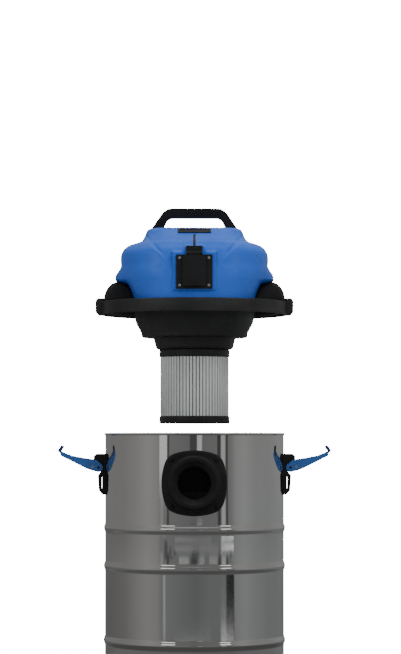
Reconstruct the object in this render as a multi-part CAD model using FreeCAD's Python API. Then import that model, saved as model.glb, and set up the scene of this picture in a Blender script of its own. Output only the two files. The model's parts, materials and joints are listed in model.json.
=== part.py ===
"""Drum-type wet and dry shop vacuum, shown with its motor head lifted off the drum.

Millimetres, +Z up. The origin is on the floor, on the drum's axis. The hose inlet and the
power-tool socket face -Y, the latches are at +X and -X. Values in the head are measured from
the plane that seats on the drum's rim, then lifted with it.
"""
import FreeCAD
import Part
import os
from math import atan2, cos, degrees, hypot, pi, radians, sin, sqrt

from FreeCAD import Vector

os.makedirs("parts", exist_ok=True)

X, Y, Z = Vector(1, 0, 0), Vector(0, 1, 0), Vector(0, 0, 1)
SEAT_GAP = 0.05          # between pieces of one body that touch along a curve
RUN_GAP = 0.3            # between pieces of different bodies
BORE_GAP = 0.06          # radial clearance of a running fit

# ---- casters ----
WHEEL_R = 25.0
WHEEL_W = 20.0
WHEEL_CLEAR = 1.5        # over the wheel, under the fork's crown
CROWN_T = 4.0
CASTER_TRAIL = 15.0
AXLE_R = 4.0
STEM_R = 5.0
STEM_LENGTH = 34.0
FORK_T = 3.0
CROWN_Z = 2 * WHEEL_R + WHEEL_CLEAR
BOSS_Z = CROWN_Z + CROWN_T + RUN_GAP

# ---- drum ----
DRUM_R = 165.0
DRUM_HEIGHT = 440.0
SHEET = 0.9
DRUM_OVER_BOSS = 14.2
DRUM_FLOOR_Z = BOSS_Z + DRUM_OVER_BOSS   # lower edge of the shell
RIM_Z = DRUM_FLOOR_Z + DRUM_HEIGHT       # top of the rolled rim
RIM_ROLL_R = 2.3
BEAD_TOP_DROP = 174.0                    # top bead below the rim, clear of the inlet
BEAD_FOOT = 60.0                         # lowest bead over the wall's foot, clear of the base
BEAD_RUN = DRUM_HEIGHT - BEAD_FOOT - BEAD_TOP_DROP
BEAD_DROPS = (BEAD_TOP_DROP, BEAD_TOP_DROP + 70.0 / 206.0 * BEAD_RUN, DRUM_HEIGHT - BEAD_FOOT)
BEAD_HALF = 10.0
BEAD_BULGE = 2.4

# ---- caster base ----
CASTER_OUTSET = 21.0
CASTER_RING_R = DRUM_R + CASTER_OUTSET   # from the drum's axis to a swivel stem
BASE_FLOOR_T = 7.0
BASE_FLOOR_W = 45.0
BASE_INNER_R = DRUM_R - BASE_FLOOR_W
BASE_SCREW_RING_R = BASE_INNER_R + 20.0
BASE_WALL = 5.0
BASE_LIP = 28.0          # base wall above the drum's lower edge

# ---- inlet ----
INLET_DROP = 90.0        # bore centre below the rim
INLET_BORE_R = 29.0
INLET_TUBE_WALL = 2.5
INLET_MOUTH_R = INLET_BORE_R + 10.0
INLET_MOUTH_DEPTH = 9.0
INLET_BOSS_R = INLET_MOUTH_R + 8.0
INLET_HALF = INLET_BOSS_R + 3.0          # half the plate's width at its corners
INLET_BULGE = 8.5
INLET_PLATE_REACH = 10.0     # plate stands this far off the drum
INLET_STANDOFF = 25.0
INLET_REACH = DRUM_R + INLET_STANDOFF    # mouth of the inlet from the drum's axis
GASKET_T = 1.2
INLET_SCREW_X = INLET_HALF - 10.0
INLET_SCREW_Z = INLET_HALF - 8.0
HOOD_R = INLET_BORE_R + INLET_TUBE_WALL + 6.5
HOOD_REACH = 42.0
HOOD_WALL = 2.5

# ---- head, measured from its seat on the rim ----
LIFT = 235.0             # the head stands this far above its seat
SEAL_T = 3.5
SKIRT_OUTSET = 8.0
SKIRT_R = DRUM_R + SKIRT_OUTSET
SKIRT_DROP = 21.0
SKIRT_T = 3.5
FLANGE_T = 3.0
RIB_INSET = 7.0
RIB_OUT_R = DRUM_R - RIB_INSET
RIB_T = 3.0
RIB_DROP = 14.0
WALL = 3.0
BOWL_R = 112.0
BOWL_DROP = 59.0
BOWL_LOW_R = 98.0
THROAT_R = 76.0
THROAT_DROP = 81.0
THROAT_LOW_R = 69.0
SUCTION_R = 26.0
SPIGOT_R = 39.0
SPIGOT_DROP = 19.0

# ---- side lugs and humps of the head ----
LUG_OUTSET = 9.5
LUG_REACH = SKIRT_R + LUG_OUTSET
LUG_HALF_W = 30.0
LUG_TOP = 13.0
LUG_BOTTOM = -17.0
LEDGE = -11.0
LEDGE_DEPTH = 12.0
LEDGE_ROOM = 15.0
HUMP_HALF_W = 55.0
HUMP_TOP = 41.0

# ---- cover ----
COVER_WALL = 3.0
COVER_HEIGHT = 139.0     # deck above the seat
DECK_HALF_X = 83.0
DECK_HALF_Y = 84.0
COVER_SCREW_LENGTH = 22.0
PAD_HALF_X = 38.0
COVER_REACH = SKIRT_R - 11.0             # half depth of the cover at the flange
PAD_Y = COVER_REACH + 2.0
POST_R = SKIRT_R - 34.0
PAD_LOW = 17.0
PAD_HIGH = 88.0

# ---- handle ----
HANDLE_HALF_X = 82.0
HANDLE_TOP_HALF_X = 54.0
HANDLE_HEIGHT = 42.0
GRIP_T = 18.0
GRIP_W = 26.0

# ---- socket ----
SOCKET_HALF_X = 32.5
SOCKET_HALF_Z = 30.5
SOCKET_MID = 52.5
SOCKET_T = 4.0
SOCKET_BORE_R = 21.0
FLAP_T = 3.0
FLAP_HALF_X = 21.0
FLAP_PIN_R = 1.5
HINGE_HOOD = 13.0        # top of the fixed hood above the flap's pin
SOCKET_SCREW = 26.0

# ---- switch ----
SWITCH_HALF_X = 30.0
SWITCH_LENGTH = 16.0
SWITCH_RIM = 3.5
BEZEL_T = 2.0

# ---- blower port and cable gland ----
PORT_BORE_R = 19.0
PORT_WALL = 3.0
PORT_MID = 32.0
GLAND_R = 8.0
GLAND_MID = 82.0

# ---- motor ----
MOTOR_SEAT_DROP = 50.0
FAN_R = 72.0
FAN_H = 43.0
IMPELLER_R = 64.0
IMPELLER_H = 24.0
STATOR_R = 44.0
STATOR_BORE_R = 28.0
STATOR_H = 50.0
AIR_GAP = 0.8
SHAFT_R = 4.0
BEARING_R = 11.0
BEARING_H = 8.0
BRACKET_WALL = 2.0
COMMUTATOR_R = 14.0
COMMUTATOR_H = 20.0

# ---- filter and float ----
FILTER_R = 65.0
FILTER_BOTTOM = -218.0
FILTER_CAP_T = 14.0
MEDIA_OUT_R = FILTER_R - 1.5
CORE_IN_R = SPIGOT_R + 2.5
CORE_OUT_R = CORE_IN_R + 2.5
MEDIA_IN_R = CORE_OUT_R + 1.0
CAGE_R = SUCTION_R + 1.0
CAGE_WALL = 3.0
CAGE_H = 74.0
BALL_R = 20.0
BALL_SEAT_R = 17.0

# ---- latches, for the +X side ----
PIVOT_OUTSET = 12.0
PIVOT_R = DRUM_R + PIVOT_OUTSET
PIVOT_DROP = 64.0
LEVER_REST_DEG = 27.0
LEVER_CLOSED_DEG = -75.0
LEVER_LENGTH = 74.0
CRANK = 11.0
CRANK_DEG = -20.0        # hook pin from the lever's own direction
PIN_R = 2.4
HOOK_HALF_W = 7.0
CHEEK_IN = 8.0
CHEEK_OUT = 12.0
FLANGE_IN = 12.5
FLANGE_OUT = 16.0
LEG_OUT = 21.0
PLATE_T = 3.0
RIVET_R = 1.7
HOOK_CLOSED_DEG = 81.0
HOOK_REST_DEG = 24.5
HOOK_T = 4.0
CLAW_T = 6.0


# ---- helpers ----
def save(name, shape):
    shape.exportStep("parts/%s.step" % name)


def cyl(r, h, at, axis=Z):
    return Part.makeCylinder(r, h, at, axis)


def tube(r_out, r_in, h, at, axis=Z):
    spare = 1.0
    return cyl(r_out, h, at, axis).cut(cyl(r_in, h + 2 * spare, at - axis * spare, axis))


def box(x0, x1, y0, y1, z0, z1):
    return Part.makeBox(x1 - x0, y1 - y0, z1 - z0, Vector(x0, y0, z0))


def revolve(points):
    """A solid of revolution from (radius, height) points."""
    wire = Part.makePolygon([Vector(r, 0, z) for r, z in points + points[:1]])
    return Part.Face(wire).revolve(Vector(0, 0, 0), Z, 360)


def prism_xz(points, y0, y1):
    wire = Part.makePolygon([Vector(x, y0, z) for x, z in points + points[:1]])
    return Part.Face(wire).extrude(Vector(0, y1 - y0, 0))


def prism_yz(points, x0, x1):
    wire = Part.makePolygon([Vector(x0, y, z) for y, z in points + points[:1]])
    return Part.Face(wire).extrude(Vector(x1 - x0, 0, 0))


def fuse(shapes):
    return shapes[0].fuse(shapes[1:]).removeSplitter()


def screw(at, axis, length, r=2.0, head_r=4.0, head_t=2.4):
    """A pan-head screw: the head's underside is at the given place, its shank runs along axis."""
    head = cyl(head_r, head_t, at - axis * head_t, axis)
    slot = cyl(head_r * 0.45, head_t * 0.5, at - axis * head_t, axis)
    return head.cut(slot).fuse(cyl(r, length, at, axis))


def about_z(shape, deg):
    return shape.rotated(Vector(0, 0, 0), Z, deg)


def mirrored(shape):
    return shape.mirror(Vector(0, 0, 0), X)


def rounded_rect(half_x, half_y, radius, z):
    """A horizontal rectangle with round corners, as a wire."""
    cx, cy = half_x - radius, half_y - radius
    k = radius * sqrt(0.5)
    edges = []
    for sx, sy in ((1, 1), (-1, 1), (-1, -1), (1, -1)):
        side = Vector(sx * half_x, sy * cy, z)
        end = Vector(sx * cx, sy * half_y, z)
        mid = Vector(sx * (cx + k), sy * (cy + k), z)
        first, last = (side, end) if sx * sy > 0 else (end, side)
        edges.append((first, mid, last))
    pieces = []
    for i, (first, mid, last) in enumerate(edges):
        pieces.append(Part.Arc(first, mid, last).toShape())
        pieces.append(Part.LineSegment(last, edges[(i + 1) % 4][0]).toShape())
    return Part.Wire(pieces)


# ---- drum body ----
def drum_profile(r, grow):
    """Edges of the wall's side at radius r, going up, with its beads."""
    edges, z = [], DRUM_FLOOR_Z
    top = RIM_Z - RIM_ROLL_R
    for drop in sorted(BEAD_DROPS, reverse=True):
        mid = RIM_Z - drop
        low, high = mid - BEAD_HALF, mid + BEAD_HALF
        edges.append(Part.LineSegment(Vector(r, 0, z), Vector(r, 0, low)).toShape())
        arc = Part.Arc(Vector(r, 0, low), Vector(r + grow, 0, mid), Vector(r, 0, high))
        edges.append(arc.toShape())
        z = high
    edges.append(Part.LineSegment(Vector(r, 0, z), Vector(r, 0, top)).toShape())
    return edges


INLET_Z = RIM_Z - INLET_DROP


def drum_shell():
    inner = DRUM_R - SHEET
    top = RIM_Z - RIM_ROLL_R
    outer_side = drum_profile(DRUM_R, BEAD_BULGE)
    inner_side = drum_profile(inner, BEAD_BULGE)
    lid = Part.LineSegment(Vector(DRUM_R, 0, top), Vector(inner, 0, top)).toShape()
    foot = Part.LineSegment(Vector(inner, 0, DRUM_FLOOR_Z), Vector(DRUM_R, 0, DRUM_FLOOR_Z))
    loop = Part.Wire(Part.__sortEdges__(outer_side + [lid] + inner_side + [foot.toShape()]))
    wall = Part.Face(loop).revolve(Vector(0, 0, 0), Z, 360)
    roll_r = DRUM_R - SHEET / 2
    roll = Part.makeTorus(roll_r, RIM_ROLL_R, Vector(0, 0, top), Z)
    shell = wall.fuse(roll)
    bore = INLET_BORE_R + INLET_TUBE_WALL + SEAT_GAP
    shell = shell.cut(cyl(bore, DRUM_R, Vector(0, 0, INLET_Z), -Y))
    shell = shell.cut([cyl(RIVET_R + SEAT_GAP, 2 * DRUM_R + 20, Vector(-DRUM_R - 10, 0, z), X)
                       for z in latch_rivet_heights()])
    return shell.cut(inlet_screw_holes())


def drum_bottom():
    r = DRUM_R - SHEET - SEAT_GAP
    z = DRUM_FLOOR_Z
    turn_up = 14.0
    pan = revolve([(0, z), (r, z), (r, z + turn_up), (r - SHEET, z + turn_up),
                   (r - SHEET, z + SHEET), (0, z + SHEET)])
    holes = [cyl(2.0, 8, p + Vector(0, 0, DRUM_FLOOR_Z - 2)) for p in base_screw_places()]
    return pan.cut(holes)


# ---- caster base ----
CASTER_DEGS = {"front_left": 225, "front_right": 315, "rear_right": 45, "rear_left": 135}


def base_screw_places():
    spots = []
    for deg in (0, 90, 180, 270):
        a = radians(deg)
        spots.append(Vector(BASE_SCREW_RING_R * cos(a), BASE_SCREW_RING_R * sin(a), 0))
    return spots


def caster_base():
    """A ring that the drum stands in, with four outrigger feet."""
    top = DRUM_FLOOR_Z + BASE_LIP
    low = DRUM_FLOOR_Z - BASE_FLOOR_T
    in_r = DRUM_R + SEAT_GAP
    out_r = in_r + BASE_WALL
    ring = revolve([(BASE_INNER_R, low), (out_r, low), (out_r, top), (in_r, top),
                    (in_r, DRUM_FLOOR_Z), (BASE_INNER_R, DRUM_FLOOR_Z)])
    boss_r = STEM_R + 8.0
    feet = []
    for deg in CASTER_DEGS.values():
        arm = box(BASE_INNER_R + 20, CASTER_RING_R, -boss_r, boss_r, BOSS_Z, top - 6)
        arm = arm.fuse(cyl(boss_r, top - 6 - BOSS_Z, Vector(CASTER_RING_R, 0, BOSS_Z)))
        feet.append(about_z(arm, deg))
    base = ring.fuse(feet)
    base = base.cut(cyl(in_r, RIM_Z, Vector(0, 0, DRUM_FLOOR_Z)))
    bores = []
    for deg in CASTER_DEGS.values():
        bore = cyl(STEM_R + BORE_GAP, STEM_LENGTH, Vector(CASTER_RING_R, 0, BOSS_Z - 1))
        bores.append(about_z(bore, deg))
    for p in base_screw_places():
        bores.append(cyl(2.0 + SEAT_GAP, 40, p + Vector(0, 0, 40)))
    return base.cut(bores).removeSplitter()


def base_screws():
    head_t = 2.4
    low = DRUM_FLOOR_Z - BASE_FLOOR_T
    up = BASE_FLOOR_T + 3.0
    return Part.makeCompound([screw(p + Vector(0, 0, low), Z, up, 2.0 - SEAT_GAP, 4.5, head_t)
                              for p in base_screw_places()])


def caster_fork(deg):
    half = WHEEL_W / 2 + 1.0
    eye_r = AXLE_R + 4.0
    crown = cyl(STEM_R + 9.0, CROWN_T, Vector(CASTER_RING_R, 0, CROWN_Z))
    reach = CASTER_RING_R + CASTER_TRAIL
    bridge = box(CASTER_RING_R, reach, -half - FORK_T, half + FORK_T, CROWN_Z, CROWN_Z + CROWN_T)
    outline = [(CASTER_RING_R - 12, CROWN_Z + CROWN_T), (reach + eye_r, CROWN_Z + CROWN_T),
               (reach + eye_r, WHEEL_R), (reach - eye_r, WHEEL_R)]
    cheeks = []
    for side in (-1, 1):
        y0, y1 = sorted((side * half, side * (half + FORK_T)))
        cheek = prism_xz(outline, y0, y1)
        cheek = cheek.fuse(cyl(eye_r, FORK_T, Vector(reach, y0, WHEEL_R), Y))
        cheeks.append(cheek)
    stem_top = BOSS_Z - 1 + STEM_LENGTH - 1.5
    stem = cyl(STEM_R, stem_top - CROWN_Z, Vector(CASTER_RING_R, 0, CROWN_Z))
    fork = fuse([crown, bridge, stem] + cheeks)
    hole = cyl(AXLE_R + SEAT_GAP, 2 * half + 20, Vector(reach, -half - 10, WHEEL_R), Y)
    return about_z(fork.cut(hole), deg)


def caster_axle(deg):
    half = WHEEL_W / 2 + 1.0 + FORK_T + 1.0
    at = Vector(CASTER_RING_R + CASTER_TRAIL, -half, WHEEL_R)
    return about_z(cyl(AXLE_R, 2 * half, at, Y), deg)


def caster_wheel(deg):
    at = Vector(CASTER_RING_R + CASTER_TRAIL, -WHEEL_W / 2, WHEEL_R)
    wheel = cyl(WHEEL_R, WHEEL_W, at, Y)
    rims = [e for e in wheel.Edges if abs(e.Length - 2 * pi * WHEEL_R) < 0.1]
    wheel = wheel.makeFillet(4.0, rims)
    dish_r, dish_t = WHEEL_R - 7.0, 4.0
    hub_r = AXLE_R + 4.0
    for side in (0, 1):
        start = at + Y * (side * (WHEEL_W - dish_t))
        wheel = wheel.cut(tube(dish_r, hub_r, dish_t, start, Y))
    wheel = wheel.cut(cyl(AXLE_R + BORE_GAP, WHEEL_W + 2, at - Y, Y))
    return about_z(wheel, deg)


# ---- inlet ----
def inlet_outline(y, shrink=0.0):
    """The plate's outline: four bulging sides that meet at small cut corners."""
    w, h, cut = INLET_HALF - shrink, INLET_HALF - shrink, 7.0
    side, top = w + INLET_BULGE, h + INLET_BULGE
    z = INLET_Z
    arcs = [((w, z - h + cut), (side, z), (w, z + h - cut)),
            ((w - cut, z + h), (0, z + top), (-w + cut, z + h)),
            ((-w, z + h - cut), (-side, z), (-w, z - h + cut)),
            ((-w + cut, z - h), (0, z - top), (w - cut, z - h))]
    edges = []
    for i, points in enumerate(arcs):
        first, mid, last = [Vector(px, y, pz) for px, pz in points]
        after = Vector(arcs[(i + 1) % 4][0][0], y, arcs[(i + 1) % 4][0][1])
        edges.append(Part.Arc(first, mid, last).toShape())
        edges.append(Part.LineSegment(last, after).toShape())
    return Part.Wire(edges)


def inlet_slab(shrink, y0, y1):
    return Part.Face(inlet_outline(y0, shrink)).extrude(Vector(0, y1 - y0, 0))


def inlet_screw_places():
    return [(sx * INLET_SCREW_X, INLET_Z + sz * INLET_SCREW_Z)
            for sx in (-1, 1) for sz in (-1, 1)]


def inlet_screw_holes(r=2.1):
    return [cyl(r, DRUM_R, Vector(x, -20, z), -Y) for x, z in inlet_screw_places()]


def inlet_housing():
    """A plate curved to the drum, a round boss with a flared mouth, and a tube through the wall."""
    back_r = DRUM_R + GASKET_T + 2 * SEAT_GAP
    plate = inlet_slab(0, -INLET_REACH, 0)
    plate = plate.common(cyl(back_r + INLET_PLATE_REACH, RIM_Z, Vector(0, 0, 0)))
    boss = cyl(INLET_BOSS_R, INLET_REACH, Vector(0, 0, INLET_Z), -Y)
    housing = plate.fuse(boss).cut(cyl(back_r, 2 * RIM_Z, Vector(0, 0, -1)))
    tube_r = INLET_BORE_R + INLET_TUBE_WALL
    wall_y = DRUM_R - 14.0
    housing = housing.fuse(cyl(tube_r, INLET_REACH - wall_y - 5, Vector(0, -wall_y, INLET_Z), -Y))
    housing = housing.cut(cyl(INLET_BORE_R, INLET_REACH, Vector(0, 0, INLET_Z), -Y))
    mouth = Part.makeCone(INLET_BORE_R, INLET_MOUTH_R, INLET_MOUTH_DEPTH,
                          Vector(0, -INLET_REACH + INLET_MOUTH_DEPTH, INLET_Z), -Y)
    housing = housing.cut(mouth)
    return housing.cut(inlet_screw_holes()).removeSplitter()


def inlet_gasket():
    ring = tube(DRUM_R + SEAT_GAP + GASKET_T, DRUM_R + SEAT_GAP, RIM_Z, Vector(0, 0, 0))
    gasket = inlet_slab(4.0, -INLET_REACH, 0).common(ring)
    gasket = gasket.cut(cyl(INLET_BORE_R + INLET_TUBE_WALL + SEAT_GAP, DRUM_R + 20,
                            Vector(0, 0, INLET_Z), -Y))
    return gasket.cut(inlet_screw_holes())


def inlet_deflector():
    """Backing plate inside the drum with a hood that turns the air down."""
    out_r = DRUM_R - SHEET - SEAT_GAP
    plate = cyl(INLET_HALF + 16, DRUM_R, Vector(0, 0, INLET_Z), -Y)
    plate = plate.common(tube(out_r, out_r - 3.0, RIM_Z, Vector(0, 0, 0)))
    hood_y = DRUM_R - 4.0
    hood = cyl(HOOD_R, HOOD_REACH, Vector(0, -hood_y + HOOD_REACH, INLET_Z), -Y)
    hood = hood.common(cyl(out_r, RIM_Z, Vector(0, 0, 0)))
    part = plate.fuse(hood)
    inside = cyl(HOOD_R - HOOD_WALL, HOOD_REACH - 3.0,
                 Vector(0, -hood_y + HOOD_REACH - 3.0, INLET_Z), -Y)
    mouth_z = INLET_Z - 16.0
    opening = box(-HOOD_R, HOOD_R, -hood_y + 8, -hood_y + HOOD_REACH + 1, mouth_z - 60, mouth_z)
    part = part.cut(inside).cut(opening)
    tube_r = INLET_BORE_R + INLET_TUBE_WALL + SEAT_GAP
    part = part.cut(cyl(tube_r, 60, Vector(0, -DRUM_R + 12, INLET_Z), -Y))
    return part.cut(inlet_screw_holes(1.9)).removeSplitter()


def inlet_screws():
    back_r = DRUM_R + GASKET_T + 2 * SEAT_GAP + INLET_PLATE_REACH
    inner = DRUM_R - SHEET - 6.0
    screws = []
    for x, z in inlet_screw_places():
        head_r = 4.2
        face_y = -sqrt(back_r ** 2 - (abs(x) - head_r) ** 2) - SEAT_GAP
        reach = -face_y - sqrt(inner ** 2 - x ** 2)
        screws.append(screw(Vector(x, face_y, z), Y, reach, 1.9 - SEAT_GAP, head_r))
    return Part.makeCompound(screws)


# ---- head, built in place with the seat at HEAD_Z ----
HEAD_Z = RIM_Z + LIFT
FLANGE_LOW = SEAL_T
FLANGE_TOP = SEAL_T + FLANGE_T


def at_head(shape):
    return shape.translated(Vector(0, 0, HEAD_Z))


def base_shell():
    skirt_in = SKIRT_R - SKIRT_T
    skirt_low = FLANGE_TOP - SKIRT_DROP - FLANGE_T
    rib_in = RIB_OUT_R - RIB_T
    step = BOWL_R - BOWL_LOW_R
    return revolve([
        (SKIRT_R, FLANGE_TOP), (SKIRT_R, skirt_low), (skirt_in, skirt_low), (skirt_in, FLANGE_LOW),
        (RIB_OUT_R, FLANGE_LOW), (RIB_OUT_R, -RIB_DROP), (rib_in, -RIB_DROP), (rib_in, FLANGE_LOW),
        (BOWL_R, FLANGE_LOW), (BOWL_R - 2, -BOWL_DROP / 2), (BOWL_LOW_R, -BOWL_DROP + step / 2),
        (BOWL_LOW_R, -BOWL_DROP), (THROAT_R, -BOWL_DROP), (THROAT_LOW_R + 3, -THROAT_DROP + 4),
        (THROAT_LOW_R, -THROAT_DROP), (SPIGOT_R, -THROAT_DROP),
        (SPIGOT_R, -THROAT_DROP - SPIGOT_DROP), (SPIGOT_R - WALL, -THROAT_DROP - SPIGOT_DROP),
        (SPIGOT_R - WALL, -THROAT_DROP), (SUCTION_R, -THROAT_DROP),
        (SUCTION_R, -THROAT_DROP + WALL), (THROAT_LOW_R - WALL, -THROAT_DROP + WALL),
        (THROAT_LOW_R - WALL + 3, -THROAT_DROP + 7), (THROAT_R - WALL, -BOWL_DROP + WALL),
        (BOWL_LOW_R - WALL, -BOWL_DROP + WALL), (BOWL_LOW_R - WALL, -BOWL_DROP + step / 2),
        (BOWL_R - 2 - WALL, -BOWL_DROP / 2), (BOWL_R - WALL, FLANGE_TOP)])


def side_hump():
    """The +X hump with its lug; the closed latch hook sits on the lug's ledge."""
    top = HUMP_TOP
    low = FLANGE_TOP
    waist, skirt = 26.0, SKIRT_R
    outer = [(cover_half_x(low) + 1, low - FLANGE_T), (cover_half_x(low) + 1, low),
             (cover_half_x(waist) + 1, waist), (cover_half_x(top - 4) + 1, top - 4),
             (cover_half_x(top - 4) + 10, top), (skirt - 21, top - 1), (skirt - 10, waist),
             (skirt - 7, LUG_TOP + 2), (skirt - 7, low - FLANGE_T)]
    hump = prism_xz(outer, -HUMP_HALF_W, HUMP_HALF_W)
    hollow = [(outer[1][0] - 4, low + WALL), (outer[2][0] + WALL, waist),
              (outer[3][0] + WALL, top - 6), (skirt - 23, top - 4), (skirt - 13, waist - 1),
              (skirt - 11, low + WALL)]
    hump = hump.cut(prism_xz(hollow, -HUMP_HALF_W + WALL, HUMP_HALF_W - WALL))
    root = skirt - 18
    lug = prism_xz([(root, LUG_BOTTOM), (LUG_REACH - 4, LUG_BOTTOM), (LUG_REACH, LUG_BOTTOM + 4),
                    (LUG_REACH, LUG_TOP - 5), (LUG_REACH - 4, LUG_TOP), (root, LUG_TOP)],
                   -LUG_HALF_W, LUG_HALF_W)
    recess = box(LUG_REACH - LEDGE_DEPTH, LUG_REACH + 5, -HOOK_HALF_W - 2, HOOK_HALF_W + 2,
                 LEDGE, LEDGE + LEDGE_ROOM)
    lug = lug.cut(recess).cut(cyl(SKIRT_R - SKIRT_T, FLANGE_LOW + 60, Vector(0, 0, -60)))
    return hump.fuse(lug)


def head_base():
    hump = side_hump()
    port_y = COVER_REACH - 16.0
    riser = box(-PORT_BORE_R - 7, PORT_BORE_R + 7, port_y - 12, port_y,
                FLANGE_TOP - 1, PORT_MID + PORT_BORE_R + 7)
    pipe_r = PORT_BORE_R + PORT_WALL
    pipe = cyl(pipe_r, INLET_REACH - port_y + 1, Vector(0, port_y - 1, PORT_MID), Y)
    posts = []
    for sx in (-1, 1):
        for sy in (-1, 1):
            posts.append(cyl(2.1, 20, cover_post(sx, sy) + Vector(0, 0, FLANGE_TOP - 10)))
    base = base_shell().fuse([hump, mirrored(hump), riser, pipe])
    base = base.cut(cyl(PORT_BORE_R, INLET_REACH, Vector(0, port_y - 13, PORT_MID), Y))
    return at_head(base.cut(posts).removeSplitter())


def head_seal():
    return at_head(tube(SKIRT_R - SKIRT_T - SEAT_GAP, RIB_OUT_R + SEAT_GAP,
                        SEAL_T - SEAT_GAP, Vector(0, 0, 0)))


# ---- cover: (height, half width, half depth, corner radius) up from the flange ----
def cover_levels():
    side, front = SKIRT_R - 27.5, COVER_REACH
    return [(FLANGE_TOP, side - 36.5, front, 78.0), (27.0, side - 29.0, front - 1.0, 80.0),
            (38.0, side - 21.0, front - 1.5, 84.0), (45.0, side - 1.5, front - 2.0, 108.0),
            (63.0, side, front - 4.0, 108.0), (91.0, side - 6.5, front - 12.0, 100.0),
            (108.0, side - 18.5, front - 26.0, 88.0), (117.0, side - 35.5, front - 40.0, 70.0),
            (123.0, side - 46.5, front - 51.0, 55.0), (COVER_HEIGHT, DECK_HALF_X, DECK_HALF_Y, 34.0)]


def cover_half(height, column):
    """Half width (column 1) or half depth (column 2) of the cover at a height above the seat."""
    levels = cover_levels()
    for low, high in zip(levels, levels[1:]):
        if low[0] <= height <= high[0]:
            t = (height - low[0]) / (high[0] - low[0])
            return low[column] + t * (high[column] - low[column])
    return levels[0][column]


def cover_half_x(height):
    return cover_half(height, 1)


def cover_solid(shrink):
    wires = []
    levels = cover_levels()
    for i, (z, half_x, half_y, radius) in enumerate(levels):
        if shrink and i == 0:
            z -= 5.0
        if shrink and i == len(levels) - 1:
            z -= shrink
        wires.append(rounded_rect(half_x - shrink, half_y - shrink, radius - shrink, z))
    return Part.makeLoft(wires, True, True)


def cover_post(sx, sy):
    k = POST_R * sqrt(0.5)
    return Vector(sx * k, sy * k, 0)


def switch_frame():
    """Centre, outward normal and up-slope direction of the sloping face under the switch."""
    low, high = cover_levels()[-2:]
    rise, run = high[0] - low[0], low[2] - high[2]
    length = hypot(rise, run)
    slope = Vector(0, run / length, rise / length)
    normal = Vector(0, -rise / length, run / length)
    mid = Vector(0, -(low[2] + high[2]) / 2, (low[0] + high[0]) / 2)
    return mid, normal, slope


def on_slope(half_x, length, out, depth):
    """A box on the sloping face, from depth below it to out above it."""
    mid, normal, slope = switch_frame()
    block = box(-half_x, half_x, -length / 2, length / 2, -depth, out)
    turn = degrees(atan2(slope.z, slope.y))
    return block.rotated(Vector(0, 0, 0), X, turn).translated(mid)


def motor_cover():
    body = cover_solid(0).cut(cover_solid(COVER_WALL))
    pad = box(-PAD_HALF_X, PAD_HALF_X, -PAD_Y, -PAD_Y + 29, PAD_LOW, PAD_HIGH)
    body = body.fuse(pad.cut(cover_solid(COVER_WALL)))
    for sx in (-1, 1):
        for sy in (-1, 1):
            p = cover_post(sx, sy)
            post = cyl(7.0, 36, p + Vector(0, 0, FLANGE_TOP + SEAT_GAP)).common(cover_solid(1.0))
            body = body.fuse(post.cut(cyl(1.9, COVER_SCREW_LENGTH + 8, p)))
    hole_r = SOCKET_BORE_R + SEAT_GAP
    body = body.cut(cyl(hole_r, 50, Vector(0, -PAD_Y + 40, SOCKET_MID), -Y))
    body = body.cut(socket_screw_holes(1.4))
    body = body.cut(on_slope(SWITCH_HALF_X - 1.2, SWITCH_LENGTH - 4, 6, 8))
    port_r = PORT_BORE_R + PORT_WALL + SEAT_GAP
    body = body.cut(cyl(port_r, 60, Vector(0, COVER_REACH - 22, PORT_MID), Y))
    body = body.cut(cyl(GLAND_R - 2 + SEAT_GAP, 60, Vector(0, COVER_REACH - 32, GLAND_MID), Y))
    for sx in (-1, 1):
        body = body.cut(cyl(2.1, 20, Vector(sx * HANDLE_SCREW_X, 0, COVER_HEIGHT - 10)))
    return at_head(body.translated(Vector(0, 0, SEAT_GAP)).removeSplitter())


def cover_screws():
    screws = []
    for sx in (-1, 1):
        for sy in (-1, 1):
            p = cover_post(sx, sy) + Vector(0, 0, FLANGE_LOW)
            screws.append(screw(p, Z, COVER_SCREW_LENGTH, 1.9 - SEAT_GAP, 4.0, 2.2))
    return at_head(Part.makeCompound(screws))


# ---- carry handle ----
HANDLE_SCREW_X = 70.0


def carry_handle():
    low = COVER_HEIGHT + 2 * SEAT_GAP
    top = COVER_HEIGHT + HANDLE_HEIGHT
    foot_in = HANDLE_HALF_X - GRIP_T - 4
    outline = [(HANDLE_HALF_X, low), (HANDLE_TOP_HALF_X, top), (-HANDLE_TOP_HALF_X, top),
               (-HANDLE_HALF_X, low), (-foot_in, low), (-HANDLE_TOP_HALF_X + 5, top - GRIP_T),
               (HANDLE_TOP_HALF_X - 5, top - GRIP_T), (foot_in, low)]
    handle = prism_xz(outline, -GRIP_W / 2, GRIP_W / 2)
    long_edges = [e for e in handle.Edges
                  if abs(e.Vertexes[0].Point.y - e.Vertexes[1].Point.y) < 0.01
                  and max(v.Point.z for v in e.Vertexes) > low + 1]
    handle = handle.makeFillet(6.0, long_edges)
    for sx in (-1, 1):
        handle = handle.cut(cyl(1.9, 16, Vector(sx * HANDLE_SCREW_X, 0, low)))
    return at_head(handle)


def handle_screws():
    low = COVER_HEIGHT - COVER_WALL
    return at_head(Part.makeCompound([
        screw(Vector(sx * HANDLE_SCREW_X, 0, low), Z, 17, 1.9 - SEAT_GAP, 4.5)
        for sx in (-1, 1)]))


# ---- power-tool socket ----
FLAP_PIN_Z = SOCKET_MID + SOCKET_HALF_Z + 3.0
FLAP_PIN_Y = -PAD_Y - SOCKET_T - 1.8


def socket_screw_places():
    return [(sx * SOCKET_SCREW, SOCKET_MID + sz * (SOCKET_SCREW - 1.5))
            for sx in (-1, 1) for sz in (-1, 1)]


def socket_screw_holes(r):
    return [cyl(r, 14, Vector(x, -PAD_Y + 10, z), -Y) for x, z in socket_screw_places()]


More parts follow.
